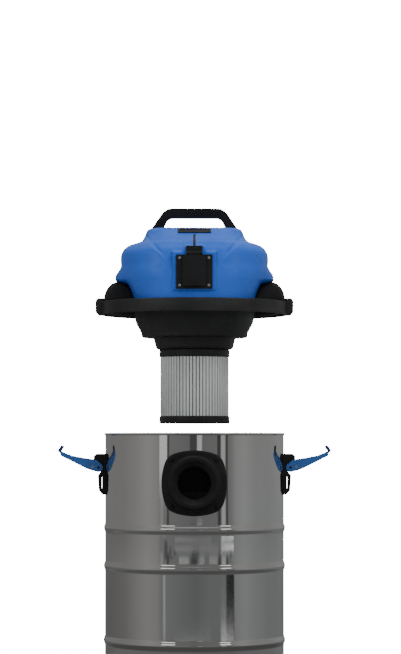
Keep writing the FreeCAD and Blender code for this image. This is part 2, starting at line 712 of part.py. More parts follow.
def socket_plate():
    y1 = -PAD_Y - SEAT_GAP
    plate = box(-SOCKET_HALF_X, SOCKET_HALF_X, y1 - SOCKET_T, y1,
                SOCKET_MID - SOCKET_HALF_Z, SOCKET_MID + SOCKET_HALF_Z)
    knuckles = []
    for sx in (-1, 1):
        x0 = sx * 12.0 - 2.5
        knuckles.append(cyl(3.2, 5, Vector(x0, FLAP_PIN_Y, FLAP_PIN_Z), X))
        knuckles.append(box(x0, x0 + 5, FLAP_PIN_Y, y1, SOCKET_MID + SOCKET_HALF_Z - 1, FLAP_PIN_Z + 5))
    hood = box(-14.5, 14.5, y1 - SOCKET_T, y1, FLAP_PIN_Z + 3.6, FLAP_PIN_Z + HINGE_HOOD)
    plate = fuse([plate, hood] + knuckles)
    plate = plate.cut(cyl(SOCKET_BORE_R - 1, 30, Vector(0, y1 + 5, SOCKET_MID), -Y))
    plate = plate.cut(cyl(FLAP_PIN_R, 40, Vector(-20, FLAP_PIN_Y, FLAP_PIN_Z), X))
    return at_head(plate.cut([cyl(1.6, 14, Vector(x, y1 + 3, z), -Y)
                              for x, z in socket_screw_places()]))


def socket_insert():
    """The cup behind the plate, with two holes and side earths for the plug."""
    y0 = -PAD_Y
    depth = 34.0
    cup = cyl(SOCKET_BORE_R, depth, Vector(0, y0 + depth, SOCKET_MID), -Y)
    cup = cup.cut(cyl(SOCKET_BORE_R - 2.0, depth - 8, Vector(0, y0 + depth - 8, SOCKET_MID), -Y))
    for sx in (-1, 1):
        hole = cyl(2.6, 6, Vector(sx * 9.5, y0 + depth - 7, SOCKET_MID), Y)
        cup = cup.cut(hole)
    return at_head(cup)


def socket_contacts():
    y0 = -PAD_Y + 34.0
    pins = []
    for sx in (-1, 1):
        pins.append(tube(2.6 - SEAT_GAP, 2.2, 5.5, Vector(sx * 9.5, y0 - 6.8, SOCKET_MID), Y))
    return at_head(Part.makeCompound(pins))


def socket_flap():
    """The lid that covers the socket, hanging on its hinge barrel."""
    y1 = -PAD_Y - SOCKET_T - RUN_GAP - SEAT_GAP
    low, high = SOCKET_MID - SOCKET_HALF_Z + 4.5, FLAP_PIN_Z - 4.0
    lid = box(-FLAP_HALF_X, FLAP_HALF_X, y1 - FLAP_T, y1, low, high)
    lid = lid.makeFillet(5.0, [e for e in lid.Edges
                               if abs(e.Vertexes[0].Point.y - e.Vertexes[1].Point.y) > 1])
    barrel = cyl(3.2, 18.4, Vector(-9.2, FLAP_PIN_Y, FLAP_PIN_Z), X)
    web = box(-9.2, 9.2, y1 - FLAP_T, FLAP_PIN_Y + 1, high - 2, FLAP_PIN_Z)
    lip = box(-10, 10, y1 - FLAP_T - 3, y1 - FLAP_T + 1, low + 1, low + 4)
    flap = fuse([lid, barrel, web, lip])
    return at_head(flap.cut(cyl(FLAP_PIN_R + BORE_GAP, 40, Vector(-20, FLAP_PIN_Y, FLAP_PIN_Z), X)))


def flap_pin():
    return at_head(cyl(FLAP_PIN_R, 29, Vector(-14.5, FLAP_PIN_Y, FLAP_PIN_Z), X))


def socket_screws():
    face = -PAD_Y - SOCKET_T - SEAT_GAP
    return at_head(Part.makeCompound([
        screw(Vector(x, face, z), Y, 11, 1.4 - SEAT_GAP, 2.8, 1.6)
        for x, z in socket_screw_places()]))


# ---- switch ----
ROCKER_SIDE_GAP = 0.6
ROCKER_END_GAP = 1.0     # leaves the rocker's upper corner room to swing
ROCKER_PIN_R = 1.0
ROCKER_PIN_DROP = 2.0
ROCKER_PIN_SEAT = 1.5


def rocker_pin(radius, spare):
    """The cross pin of the rocker, or its bore in the bezel, on the sloping face."""
    mid, normal, slope = switch_frame()
    half = SWITCH_HALF_X - SWITCH_RIM + ROCKER_PIN_SEAT + spare
    at = mid - normal * ROCKER_PIN_DROP + Vector(-half, 0, 0)
    return cyl(radius, 2 * half, at, X)


def switch_bezel():
    window = on_slope(SWITCH_HALF_X - SWITCH_RIM, SWITCH_LENGTH - 2 * SWITCH_RIM, 20, 20)
    rim = on_slope(SWITCH_HALF_X, SWITCH_LENGTH, BEZEL_T, -SEAT_GAP)
    can = on_slope(SWITCH_HALF_X - 1.2 - SEAT_GAP, SWITCH_LENGTH - 4 - 2 * SEAT_GAP, BEZEL_T, 14)
    bezel = rim.fuse(can).cut(window).cut(rocker_pin(ROCKER_PIN_R + BORE_GAP, 0.1))
    return at_head(bezel.translated(Vector(0, 0, SEAT_GAP)).removeSplitter())


def power_switch():
    """The rocker, tipped to its off side, on its cross pin in the bezel."""
    mid, normal, slope = switch_frame()
    half_x = SWITCH_HALF_X - SWITCH_RIM - ROCKER_SIDE_GAP
    half = SWITCH_LENGTH / 2 - SWITCH_RIM - ROCKER_END_GAP
    block = prism_yz([(-half, 0.9), (-half, -3.4), (half, -3.4), (half, 1.7), (0, 1.0)],
                     -half_x, half_x)
    turn = degrees(atan2(slope.z, slope.y))
    block = block.rotated(Vector(0, 0, 0), X, turn).translated(mid)
    rocker = block.fuse(rocker_pin(ROCKER_PIN_R, 0))
    return at_head(rocker.translated(Vector(0, 0, SEAT_GAP)).removeSplitter())


def cable_gland():
    face = cover_half(GLAND_MID - GLAND_R, 2) + 2 * SEAT_GAP
    collar_t = 4.5
    nose = Part.makeCone(GLAND_R - 1, GLAND_R - 3, 12, Vector(0, face + collar_t - 1, GLAND_MID), Y)
    gland = fuse([cyl(GLAND_R - 2, 12, Vector(0, face - 11, GLAND_MID), Y),
                  cyl(GLAND_R, collar_t, Vector(0, face, GLAND_MID), Y), nose])
    return at_head(gland.cut(cyl(4.0, 40, Vector(0, face - 12, GLAND_MID), Y)))


# ---- motor ----
GASKET_LOW = -BOWL_DROP + WALL
FAN_Z = -MOTOR_SEAT_DROP
FAN_TOP = FAN_Z + FAN_H
BRACKET_H = 110.0
STATOR_Z = FAN_TOP + 14.0
COMMUTATOR_Z = STATOR_Z + STATOR_H + 12.0
BRACKET_IN_R = STATOR_R + SEAT_GAP


def motor_gasket():
    return at_head(tube(86.0, 64.0, FAN_Z - GASKET_LOW - 2 * SEAT_GAP,
                        Vector(0, 0, GASKET_LOW + SEAT_GAP)))


def fan_housing():
    wall = 1.6
    can = cyl(FAN_R, FAN_H, Vector(0, 0, FAN_Z)).fuse(cyl(80.0, wall, Vector(0, 0, FAN_Z)))
    can = can.cut(cyl(FAN_R - wall, FAN_H - 2 * wall, Vector(0, 0, FAN_Z + wall)))
    can = can.cut(cyl(24.0, 10, Vector(0, 0, FAN_Z - 2)))
    can = can.cut(cyl(BEARING_R + 3, 10, Vector(0, 0, FAN_TOP - 5)))
    slots = []
    for i in range(8):
        slot = box(FAN_R - 6, FAN_R + 6, -12, 12, FAN_TOP - 12, FAN_TOP - 4)
        slots.append(about_z(slot, i * 45 + 22.5))
    return at_head(can.cut(slots))


def impeller():
    low = FAN_Z + 8.0
    disc_t, hub_r = 1.5, SHAFT_R + 6
    pieces = [tube(IMPELLER_R, 22.0, disc_t, Vector(0, 0, low)),
              cyl(IMPELLER_R, disc_t, Vector(0, 0, low + IMPELLER_H - disc_t)),
              cyl(hub_r, IMPELLER_H, Vector(0, 0, low))]
    for i in range(7):
        blade = box(20.0, IMPELLER_R - 1, -0.8, 0.8, low + 0.5, low + IMPELLER_H - 0.5)
        blade = blade.rotated(Vector(20.0, 0, 0), Z, -24)
        pieces.append(about_z(blade, i * 360 / 7).common(cyl(IMPELLER_R, 300, Vector(0, 0, -150))))
    wheel = fuse(pieces)
    return at_head(wheel.cut(cyl(SHAFT_R + SEAT_GAP, 60, Vector(0, 0, low - 10))))


def motor_bracket():
    """The can around the motor: bearing seats at both ends and windows in its side."""
    low = FAN_TOP + SEAT_GAP
    out_r = BRACKET_IN_R + BRACKET_WALL
    can = cyl(out_r, BRACKET_H, Vector(0, 0, low))
    can = can.cut(cyl(BRACKET_IN_R, BRACKET_H - 5, Vector(0, 0, low + 2.5)))
    hub_r, seat_h = BEARING_R + 3, BEARING_H + 2
    can = can.fuse([cyl(hub_r, seat_h, Vector(0, 0, low)),
                    cyl(hub_r, seat_h, Vector(0, 0, low + BRACKET_H - seat_h))])
    seat = BEARING_R + SEAT_GAP
    can = can.cut([cyl(seat, BEARING_H, Vector(0, 0, low + 2)),
                   cyl(seat, BEARING_H, Vector(0, 0, low + BRACKET_H - 2 - BEARING_H)),
                   cyl(SHAFT_R + 1, 300, Vector(0, 0, -150))])
    windows = []
    for deg in (45, 135, 225, 315):
        windows.append(about_z(box(20, 60, -12, 12, COMMUTATOR_Z, COMMUTATOR_Z + 22), deg))
        windows.append(about_z(box(20, 60, -12, 12, low + 3.5, STATOR_Z - 2), deg))
    return at_head(can.cut(windows).removeSplitter())


def motor_bearings():
    low = FAN_TOP + SEAT_GAP
    places = (low + 2 + SEAT_GAP, low + BRACKET_H - 2 - BEARING_H + SEAT_GAP)
    rings = [tube(BEARING_R, SHAFT_R + BORE_GAP, BEARING_H - 2 * SEAT_GAP, Vector(0, 0, z))
             for z in places]
    return at_head(Part.makeCompound(rings))


def motor_stator():
    ring = tube(STATOR_R, STATOR_BORE_R, STATOR_H, Vector(0, 0, STATOR_Z))
    coil = 7.0
    for z in (STATOR_Z - coil, STATOR_Z + STATOR_H):
        ring = ring.fuse(tube(STATOR_R - 3, STATOR_BORE_R + 3, coil, Vector(0, 0, z)))
    return at_head(ring)


def armature():
    low = FAN_Z + 6.0
    top = FAN_TOP + BRACKET_H - 1
    core = cyl(STATOR_BORE_R - AIR_GAP, STATOR_H - 4, Vector(0, 0, STATOR_Z + 2))
    slots = [about_z(box(STATOR_BORE_R - 8, STATOR_BORE_R + 2, -1, 1, STATOR_Z, STATOR_Z + STATOR_H),
                     i * 30) for i in range(12)]
    return at_head(core.cut(slots).fuse(cyl(SHAFT_R, top - low, Vector(0, 0, low))))


def commutator():
    drum = tube(COMMUTATOR_R, SHAFT_R + SEAT_GAP, COMMUTATOR_H, Vector(0, 0, COMMUTATOR_Z))
    slots = [about_z(box(COMMUTATOR_R - 1.5, COMMUTATOR_R + 1, -0.3, 0.3,
                         COMMUTATOR_Z + 2, COMMUTATOR_Z + COMMUTATOR_H + 1), i * 15)
             for i in range(24)]
    return at_head(drum.cut(slots))


def brush_holders():
    low = COMMUTATOR_Z + 5
    holder = box(COMMUTATOR_R + RUN_GAP, BRACKET_IN_R + BRACKET_WALL, -5, 5, low, low + 11)
    holder = holder.common(cyl(BRACKET_IN_R - SEAT_GAP, 300, Vector(0, 0, -100)))
    return at_head(Part.makeCompound([holder, mirrored(holder)]))


# ---- float and filter ----
CAGE_TOP = -THROAT_DROP - SEAT_GAP


def float_cage():
    low = CAGE_TOP - CAGE_H
    body = tube(CAGE_R, CAGE_R - CAGE_WALL, CAGE_H, Vector(0, 0, low))
    floor = cyl(CAGE_R, CAGE_WALL, Vector(0, 0, low))
    collar = tube(SPIGOT_R - WALL - SEAT_GAP, CAGE_R - 1, CAGE_WALL, Vector(0, 0, CAGE_TOP - CAGE_WALL))
    seat = tube(CAGE_R - 1, BALL_SEAT_R, 4.0, Vector(0, 0, CAGE_TOP - 10))
    cage = fuse([body, floor, collar, seat])
    window_low = low + CAGE_WALL + 6
    for i in range(4):
        window = box(-8, 8, 0, CAGE_R + 5, window_low, CAGE_TOP - 18)
        cage = cage.cut(about_z(window, i * 90 + 45))
    return at_head(cage)


def float_ball():
    low = CAGE_TOP - CAGE_H + CAGE_WALL
    return at_head(Part.makeSphere(BALL_R, Vector(0, 0, low + BALL_R + 0.05)))


FILTER_CAP_TOP = -THROAT_DROP - RUN_GAP
FILTER_CAP_LOW = FILTER_CAP_TOP - FILTER_CAP_T


def filter_top_cap():
    cap = tube(FILTER_R, SPIGOT_R + BORE_GAP, FILTER_CAP_T, Vector(0, 0, FILTER_CAP_LOW))
    return at_head(cap)


def filter_bottom_cap():
    cap = cyl(FILTER_R, FILTER_CAP_T, Vector(0, 0, FILTER_BOTTOM))
    return at_head(cap.cut(cyl(CORE_IN_R - 4, 5, Vector(0, 0, FILTER_BOTTOM))))


def filter_length():
    low = FILTER_BOTTOM + FILTER_CAP_T + SEAT_GAP
    return low, FILTER_CAP_LOW - SEAT_GAP - low


def filter_media():
    low, height = filter_length()
    return at_head(tube(MEDIA_OUT_R, MEDIA_IN_R, height, Vector(0, 0, low)))


def filter_core():
    low, height = filter_length()
    core = tube(CORE_OUT_R, CORE_IN_R, height, Vector(0, 0, low))
    rows, margin = 4, 8.0
    pitch = (height - 2 * margin) / rows
    slots = []
    for row in range(rows):
        for i in range(6):
            z = low + margin + row * pitch + 3
            slots.append(about_z(box(-14, 14, CORE_IN_R - 14, CORE_OUT_R + 2, z, z + pitch - 6), i * 60))
    return at_head(core.cut(slots))


# ---- latches ----
PIVOT = Vector(PIVOT_R, 0, RIM_Z - PIVOT_DROP)


def polar(length, deg):
    return Vector(length * cos(radians(deg)), 0, length * sin(radians(deg)))


def turned(shape, centre, deg):
    """Turned in the XZ plane, from +X towards +Z."""
    return shape.rotated(centre, Y, -deg)


def latch_bracket():
    """Plate on the drum, two cheeks with the pivot boss and hump, and two side legs."""
    px, pz = PIVOT.x, PIVOT.z
    top, foot = pz + 25.5, pz - 50.0
    in_r = DRUM_R + SEAT_GAP
    plate = box(0, DRUM_R + 60, -LEG_OUT, LEG_OUT, foot, top)
    plate = plate.common(tube(in_r + PLATE_T, in_r, RIM_Z, Vector(0, 0, 0)))
    wall = in_r - 3
    cheek_outline = [(wall, pz - 12), (px - 6, pz - 6), (px - 6, pz + 5), (px + 4, pz + 9),
                     (px + 9, pz + 14), (px + 9, pz + 21), (px + 4, top), (wall, top)]
    leg_outline = [(wall, foot), (px - 8, foot), (px - 1, foot + 8), (px + 1, pz - 14),
                   (px - 6, pz - 6), (wall, pz - 6)]
    slot_outline = [(px - 7, foot + 8), (px - 5, foot + 12), (px - 5, pz - 18), (px - 7, pz - 14)]
    pieces = [plate]
    for side in (-1, 1):
        y0, y1 = sorted((side * CHEEK_IN, side * CHEEK_OUT))
        boss = cyl(6.5, y1 - y0, Vector(px, y0, pz), Y)
        pieces.append(prism_xz(cheek_outline, y0, y1).fuse(boss))
        y0, y1 = sorted((side * (FLANGE_OUT + 1), side * LEG_OUT))
        pieces.append(prism_xz(leg_outline, y0, y1).cut(prism_xz(slot_outline, y0 - 1, y1 + 1)))
    bracket = fuse(pieces).cut(cyl(in_r, RIM_Z, Vector(0, 0, 0)))
    bracket = bracket.cut(cyl(PIN_R, 60, Vector(px, -30, pz), Y))
    for z in latch_rivet_heights():
        bracket = bracket.cut(cyl(RIVET_R + SEAT_GAP, 20, Vector(DRUM_R - 5, 0, z), X))
    return bracket.removeSplitter()


def latch_rivet_heights():
    return (PIVOT.z - 38.0, PIVOT.z + 15.0)


def latch_rivets():
    """Two rivets a side through plate and drum."""
    rivets = []
    for z in latch_rivet_heights():
        inner = DRUM_R - SHEET - 1.2
        shank = cyl(RIVET_R, PLATE_T + SHEET + 2.4, Vector(inner, 0, z), X)
        tail = cyl(3.0, 1.0, Vector(inner - 0.2, 0, z), X)
        head = cyl(3.4, 1.2, Vector(DRUM_R + PLATE_T + 2 * SEAT_GAP, 0, z), X)
        rivets.append(fuse([shank, tail, head]))
    return Part.makeCompound(rivets + [mirrored(r) for r in rivets])


def latch_lever():
    """A channel open at its top: two flanges on the pivot, a floor, and a cross bar at the tip."""
    hub_r, floor_t, floor_start = PIN_R + 6.0, 2.6, 19.0
    outline = [(0, -hub_r), (8, -10.5), (floor_start, -12.0), (LEVER_LENGTH - 3, -12.4),
               (LEVER_LENGTH, -9.5), (LEVER_LENGTH - 1, -5.0), (56, -3.5), (38, 1.5), (17, 8.5),
               (9, 10.5), (0, hub_r)]
    flanges = []
    for side in (-1, 1):
        y0, y1 = sorted((side * FLANGE_IN, side * FLANGE_OUT))
        flanges.append(prism_xz(outline, y0, y1).fuse(cyl(hub_r, y1 - y0, Vector(0, y0, 0), Y)))
    floor = prism_xz([(floor_start, -12.0), (LEVER_LENGTH - 3, -12.4), (LEVER_LENGTH, -10.4),
                      (LEVER_LENGTH - 1, -12.4 + floor_t), (floor_start, -12.0 + floor_t)],
                     -FLANGE_OUT, FLANGE_OUT)
    lever = fuse(flanges + [floor])
    lever = lever.cut(cyl(PIN_R + BORE_GAP, 60, Vector(0, -30, 0), Y))
    crank = polar(CRANK, CRANK_DEG)
    lever = lever.cut(cyl(PIN_R, 60, crank + Vector(0, -30, 0), Y))
    return turned(lever, Vector(0, 0, 0), LEVER_REST_DEG).translated(PIVOT)


def hook_pin_place(lever_deg):
    return PIVOT + polar(CRANK, lever_deg + CRANK_DEG)


def latch_hook():
    """Shaped as it sits on the lug when closed, then laid back on the lever."""
    pin = hook_pin_place(LEVER_CLOSED_DEG)
    claw_low = RIM_Z + LEDGE + 2 * RUN_GAP
    lean = cos(radians(HOOK_CLOSED_DEG)) / sin(radians(HOOK_CLOSED_DEG))
    top = claw_low + CLAW_T
    face = LUG_REACH + RUN_GAP + 0.4
    inner_low = pin.x + (claw_low - pin.z) * lean - HOOK_T / 2
    inner_x = max(inner_low, face)
    claw_x = LUG_REACH - LEDGE_DEPTH + 3.0
    shank = prism_xz([(pin.x - HOOK_T / 2, pin.z), (inner_x, claw_low), (claw_x, claw_low),
                      (claw_x, claw_low + 2), (claw_x + 2, top), (inner_x + HOOK_T - 1, top),
                      (inner_x + HOOK_T, claw_low), (pin.x + HOOK_T / 2, pin.z)],
                     -HOOK_HALF_W, HOOK_HALF_W)
    eye = cyl(PIN_R + 2.2, 2 * HOOK_HALF_W, pin + Vector(0, -HOOK_HALF_W, 0), Y)
    hook = shank.fuse(eye).cut(cyl(PIN_R + BORE_GAP, 40, pin + Vector(0, -20, 0), Y))
    hook = turned(hook.removeSplitter(), pin, HOOK_REST_DEG - HOOK_CLOSED_DEG)
    return hook.translated(hook_pin_place(LEVER_REST_DEG) - pin)


def hook_pin():
    place = hook_pin_place(LEVER_REST_DEG)
    return cyl(PIN_R - 0.02, 2 * FLANGE_OUT, place + Vector(0, -FLANGE_OUT, 0), Y)


def lever_pins():
    """Two short pins a side, so that the hook can swing between them."""
    pins = []
    for side in (-1, 1):
        y0, y1 = sorted((side * CHEEK_IN, side * FLANGE_OUT))
        pins.append(cyl(PIN_R - 0.02, y1 - y0, Vector(PIVOT.x, y0, PIVOT.z), Y))
    return Part.makeCompound(pins + [mirrored(p) for p in pins])


def main():
    save("drum_shell", drum_shell())
    save("drum_bottom", drum_bottom())
    save("caster_base", caster_base())
    save("base_screws", base_screws())
    for place, deg in CASTER_DEGS.items():
        save("caster_fork_" + place, caster_fork(deg))
        save("caster_axle_" + place, caster_axle(deg))
        save("caster_wheel_" + place, caster_wheel(deg))
    for piece in (inlet_housing, inlet_gasket, inlet_deflector, inlet_screws, latch_rivets,
                  lever_pins, head_base, head_seal, motor_cover, cover_screws, carry_handle,
                  handle_screws, socket_plate, socket_insert, socket_contacts, socket_flap,
                  flap_pin, socket_screws, switch_bezel, power_switch, cable_gland, motor_gasket,
                  fan_housing, impeller, motor_bracket, motor_bearings, motor_stator, armature,
                  commutator, brush_holders, float_cage, float_ball, filter_top_cap,
                  filter_bottom_cap, filter_media, filter_core):
        save(piece.__name__, piece())
    for name, piece in (("latch_bracket", latch_bracket), ("latch_lever", latch_lever),
                        ("latch_hook", latch_hook), ("hook_pin", hook_pin)):
        shape = piece()
        save(name + "_right", shape)
        save(name + "_left", mirrored(shape))


main()
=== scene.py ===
# %% [markdown]
# # A shop vacuum with its motor head lifted off
#
# The vacuum is a polished steel drum on casters with a blue and black motor head that clips
# onto its rim. Here the head hangs above the open drum, as it does when the user takes it off
# to empty the drum. Its sizes come from a finished CAD model, which is loaded as a fixed frame.
# This file adds the looks: smooth meshes for what shows most, and a material for everything.

# %% Load the frame
import math

import bmesh
import bpy
from mathutils import Matrix, Vector
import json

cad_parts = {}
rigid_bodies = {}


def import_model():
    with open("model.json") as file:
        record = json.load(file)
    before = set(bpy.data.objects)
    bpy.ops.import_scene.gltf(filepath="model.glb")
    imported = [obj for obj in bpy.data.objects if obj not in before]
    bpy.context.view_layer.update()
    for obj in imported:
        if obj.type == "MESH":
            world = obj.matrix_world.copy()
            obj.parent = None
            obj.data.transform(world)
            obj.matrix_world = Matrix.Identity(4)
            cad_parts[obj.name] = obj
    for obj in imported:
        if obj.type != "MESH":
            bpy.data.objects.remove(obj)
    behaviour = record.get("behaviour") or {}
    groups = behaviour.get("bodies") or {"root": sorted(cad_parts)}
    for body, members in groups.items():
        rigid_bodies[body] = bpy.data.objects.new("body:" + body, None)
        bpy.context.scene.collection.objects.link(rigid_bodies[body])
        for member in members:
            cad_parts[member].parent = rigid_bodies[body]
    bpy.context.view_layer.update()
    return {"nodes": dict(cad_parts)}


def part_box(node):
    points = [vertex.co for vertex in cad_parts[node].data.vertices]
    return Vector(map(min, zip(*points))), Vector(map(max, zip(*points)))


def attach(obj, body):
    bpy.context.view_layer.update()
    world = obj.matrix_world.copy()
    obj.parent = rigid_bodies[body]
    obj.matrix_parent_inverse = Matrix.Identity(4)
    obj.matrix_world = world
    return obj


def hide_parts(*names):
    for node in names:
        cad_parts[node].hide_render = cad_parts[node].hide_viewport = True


for leftover in list(bpy.data.objects):
    bpy.data.objects.remove(leftover)
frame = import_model()
nodes = frame["nodes"]

# %% [markdown]
# ## Sizes to build from
#
# Every height and radius below is read from the frame, so a new piece always meets its
# neighbours. `SEAT` is the plane on which the head would rest on the drum's rim. All the
# head's own heights are measured up or down from it, as a toolmaker would.

# %% Read the sizes
MM = 0.001


def low(node):
    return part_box(node)[0]


def high(node):
    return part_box(node)[1]


RIM, FLOOR = high("drum_shell").z, low("drum_shell").z
DRUM_R, SHEET = 0.165, 0.0009
SEAT = low("head_seal").z
INLET = (low("inlet_housing").z + high("inlet_housing").z) / 2
print(f"rim {RIM:.4f}  seat {SEAT:.4f}  inlet {INLET:.4f}")

# %% [markdown]
# ## Small helpers for meshes
#
# Most parts here are turned on a lathe, pressed, or moulded. So three helpers do most of the
# work: one turns an outline about the upright axis, one pushes an outline sideways into a
# block, and one rounds the corners of an outline first, because no moulded corner is sharp.

# %% Mesh helpers
def new_piece(name, points, faces):
    mesh = bpy.data.meshes.new(name)
    mesh.from_pydata([tuple(p) for p in points], [], faces)
    piece = bpy.data.objects.new(name, mesh)
    bpy.context.scene.collection.objects.link(piece)
    return piece


def clean(piece, crease=38.0, weld=3e-6):
    """Weld doubles, face outwards, shade smoothly up to the crease angle."""
    b = bmesh.new()
    b.from_mesh(piece.data)
    bmesh.ops.remove_doubles(b, verts=b.verts, dist=weld)
    bmesh.ops.recalc_face_normals(b, faces=b.faces)
    b.to_mesh(piece.data)
    b.free()
    shade(piece, crease)
    return piece


def shade(piece, crease=38.0):
    piece.data.shade_smooth()
    piece.data.set_sharp_from_angle(angle=math.radians(crease))


def bake_modifiers(piece):
    """Turn what the modifiers make into the piece's own plain mesh."""
    depsgraph = bpy.context.evaluated_depsgraph_get()
    made = bpy.data.meshes.new_from_object(piece.evaluated_get(depsgraph), depsgraph=depsgraph)
    piece.modifiers.clear()
    piece.data = made
    return piece


def rounded(outline, radius, steps=4):
    """Round the corners of a closed outline. radius is one number, or one for each corner."""
    count = len(outline)
    sizes = radius if isinstance(radius, (list, tuple)) else [radius] * count
    result = []
    for i, here in enumerate(outline):
        p = Vector(here)
        before, after = Vector(outline[i - 1]) - p, Vector(outline[(i + 1) % count]) - p
        reach = min(sizes[i], 0.46 * before.length, 0.46 * after.length)
        if reach < 1e-5:
            result.append((p.x, p.y))
            continue
        start, end = p + before.normalized() * reach, p + after.normalized() * reach
        for k in range(steps + 1):
            t = k / steps
            q = start * (1 - t) ** 2 + p * 2 * t * (1 - t) + end * t * t
            result.append((q.x, q.y))
    return result


def loop_faces(loops, count):
    """Faces of a closed row of loops, each a closed outline of count points."""
    faces = []
    for k in range(loops):
        here, after = k * count, (k + 1) % loops * count
        for i in range(count):
            j = (i + 1) % count
            faces.append((here + i, after + i, after + j, here + j))
    return faces


def lathe(name, outline, steps=160, crease=38.0):
    """Turn a closed outline of (radius, height) about the upright axis."""
    points = []
    for k in range(steps):
        a = 2 * math.pi * k / steps
        points += [(r * math.cos(a), r * math.sin(a), z) for r, z in outline]
    return clean(new_piece(name, points, loop_faces(steps, len(outline))), crease)


def block(name, outline, start, end, axis="Y", round_by=0.0, segments=3, crease=38.0):
    """Push an outline of (x, z) along Y, or of (y, z) along X, and round its edges."""
    count = len(outline)
    points = []
    for depth in (start, end):
        for a, z in outline:
            points.append((a, depth, z) if axis == "Y" else (depth, a, z))
    faces = [tuple(range(count)), tuple(range(2 * count - 1, count - 1, -1))]
    faces += [(i, (i + 1) % count, count + (i + 1) % count, count + i) for i in range(count)]
    piece = clean(new_piece(name, points, faces), crease)
    if round_by:
        bevel = piece.modifiers.new("round", "BEVEL")
        bevel.width, bevel.segments = round_by, segments
        bevel.limit_method, bevel.angle_limit = "ANGLE", math.radians(25)
        bake_modifiers(piece)
        shade(piece, crease)
    return piece


def cutter_cylinder(radius, start, end, steps=64):
    """A round bar from one point to another, to cut with."""
    start, end = Vector(start), Vector(end)
    turn = (end - start).to_track_quat("Z", "Y").to_matrix()
    ring = [turn @ Vector((radius * math.cos(2 * math.pi * k / steps),
                           radius * math.sin(2 * math.pi * k / steps), 0)) for k in range(steps)]
    points = [start + p for p in ring] + [end + p for p in ring]
    faces = [tuple(range(steps)), tuple(range(2 * steps - 1, steps - 1, -1))]
    faces += [(i, (i + 1) % steps, steps + (i + 1) % steps, steps + i) for i in range(steps)]
    return clean(new_piece("cutter", points, faces))


def cut(piece, cutters):
    for tool in cutters:
        hole = piece.modifiers.new("hole", "BOOLEAN")
        hole.operation, hole.solver, hole.object = "DIFFERENCE", "EXACT", tool
    bake_modifiers(piece)
    for tool in cutters:
        bpy.data.objects.remove(tool)
    return piece


def join(name, pieces):
    """Make one mesh of several pieces."""
    b = bmesh.new()
    for piece in pieces:
        b.from_mesh(piece.data)
        bpy.data.objects.remove(piece)
    mesh = bpy.data.meshes.new(name)
    b.to_mesh(mesh)
    b.free()
    whole = bpy.data.objects.new(name, mesh)
    bpy.context.scene.collection.objects.link(whole)
    return whole


def mirrored(piece, name):
    """The same piece on the other side of the vacuum."""
    mesh = piece.data.copy()
    mesh.transform(Matrix.Scale(-1, 4, (1, 0, 0)))
    mesh.flip_normals()
    other = bpy.data.objects.new(name, mesh)
    bpy.context.scene.collection.objects.link(other)
    return other


def step(edge0, edge1, x):
    """Rises smoothly from 0 to 1 between the two edges."""
    t = max(0.0, min(1.0, (x - edge0) / (edge1 - edge0)))
    return t * t * (3 - 2 * t)


def dress(piece, material, body, slot, *replaced):
    """Give a finished piece its material, hang it on its body and hide the CAD parts it replaces.
    """
    piece.data.materials.clear()
    piece.data.materials.append(material)
    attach(piece, body)
    if replaced:
        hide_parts(*replaced)
    print(f"{piece.name}: {len(piece.data.polygons)} faces")
    return piece


# %% [markdown]
# ## Surface effects shared by several materials
#
# Real plastic and steel are never quite even. Four small node groups hold what they have in
# common: a moulded grain, wear along edges, dust that settles on upward faces, and the faint
# smears that hands leave. Each is built once and used in many materials with its own numbers.

# %% Node helpers
def new_group(name, inputs, outputs):
    """An empty shader group with named sockets."""
    group = bpy.data.node_groups.new(name, "ShaderNodeTree")
    for label, value in inputs.items():
        socket = group.interface.new_socket(label, in_out="INPUT", socket_type="NodeSocketFloat")
        socket.default_value = value
    for label, kind in outputs.items():
        group.interface.new_socket(label, in_out="OUTPUT", socket_type=kind)
    return group, group.nodes.new("NodeGroupInput"), group.nodes.new("NodeGroupOutput")


def math_node(tree, operation, a, b=None, c=None, clamp=False):
    node = tree.nodes.new("ShaderNodeMath")
    node.operation, node.use_clamp = operation, clamp
    for socket, value in zip(node.inputs, (a, b, c)):
        if isinstance(value, (int, float)):
            socket.default_value = value
        elif value is not None:
            tree.links.new(value, socket)
    return node.outputs[0]


def ramp(tree, value, start, end, low_value=0.0, high_value=1.0, smooth=True):
    node = tree.nodes.new("ShaderNodeMapRange")
    node.interpolation_type = "SMOOTHSTEP" if smooth else "LINEAR"
    tree.links.new(value, node.inputs["Value"])
    for label, number in (("From Min", start), ("From Max", end),
                          ("To Min", low_value), ("To Max", high_value)):
        node.inputs[label].default_value = number
    return node.outputs["Result"]


def noise(tree, vector, scale, detail=3.0, roughness=0.5):
    node = tree.nodes.new("ShaderNodeTexNoise")
    node.inputs["Detail"].default_value = detail
    node.inputs["Roughness"].default_value = roughness
    tree.links.new(vector, node.inputs["Vector"])
    if isinstance(scale, (int, float)):
        node.inputs["Scale"].default_value = scale
    else:
        tree.links.new(scale, node.inputs["Scale"])
    return node.outputs["Fac"]


def place(tree, scale=(1, 1, 1), turn=(0, 0, 0)):
    """Object coordinates, stretched and turned."""
    coords = tree.nodes.new("ShaderNodeTexCoord")
    mapping = tree.nodes.new("ShaderNodeMapping")
    mapping.inputs["Scale"].default_value = scale
    mapping.inputs["Rotation"].default_value = turn
    tree.links.new(coords.outputs["Object"], mapping.inputs["Vector"])
    return mapping.outputs["Vector"]


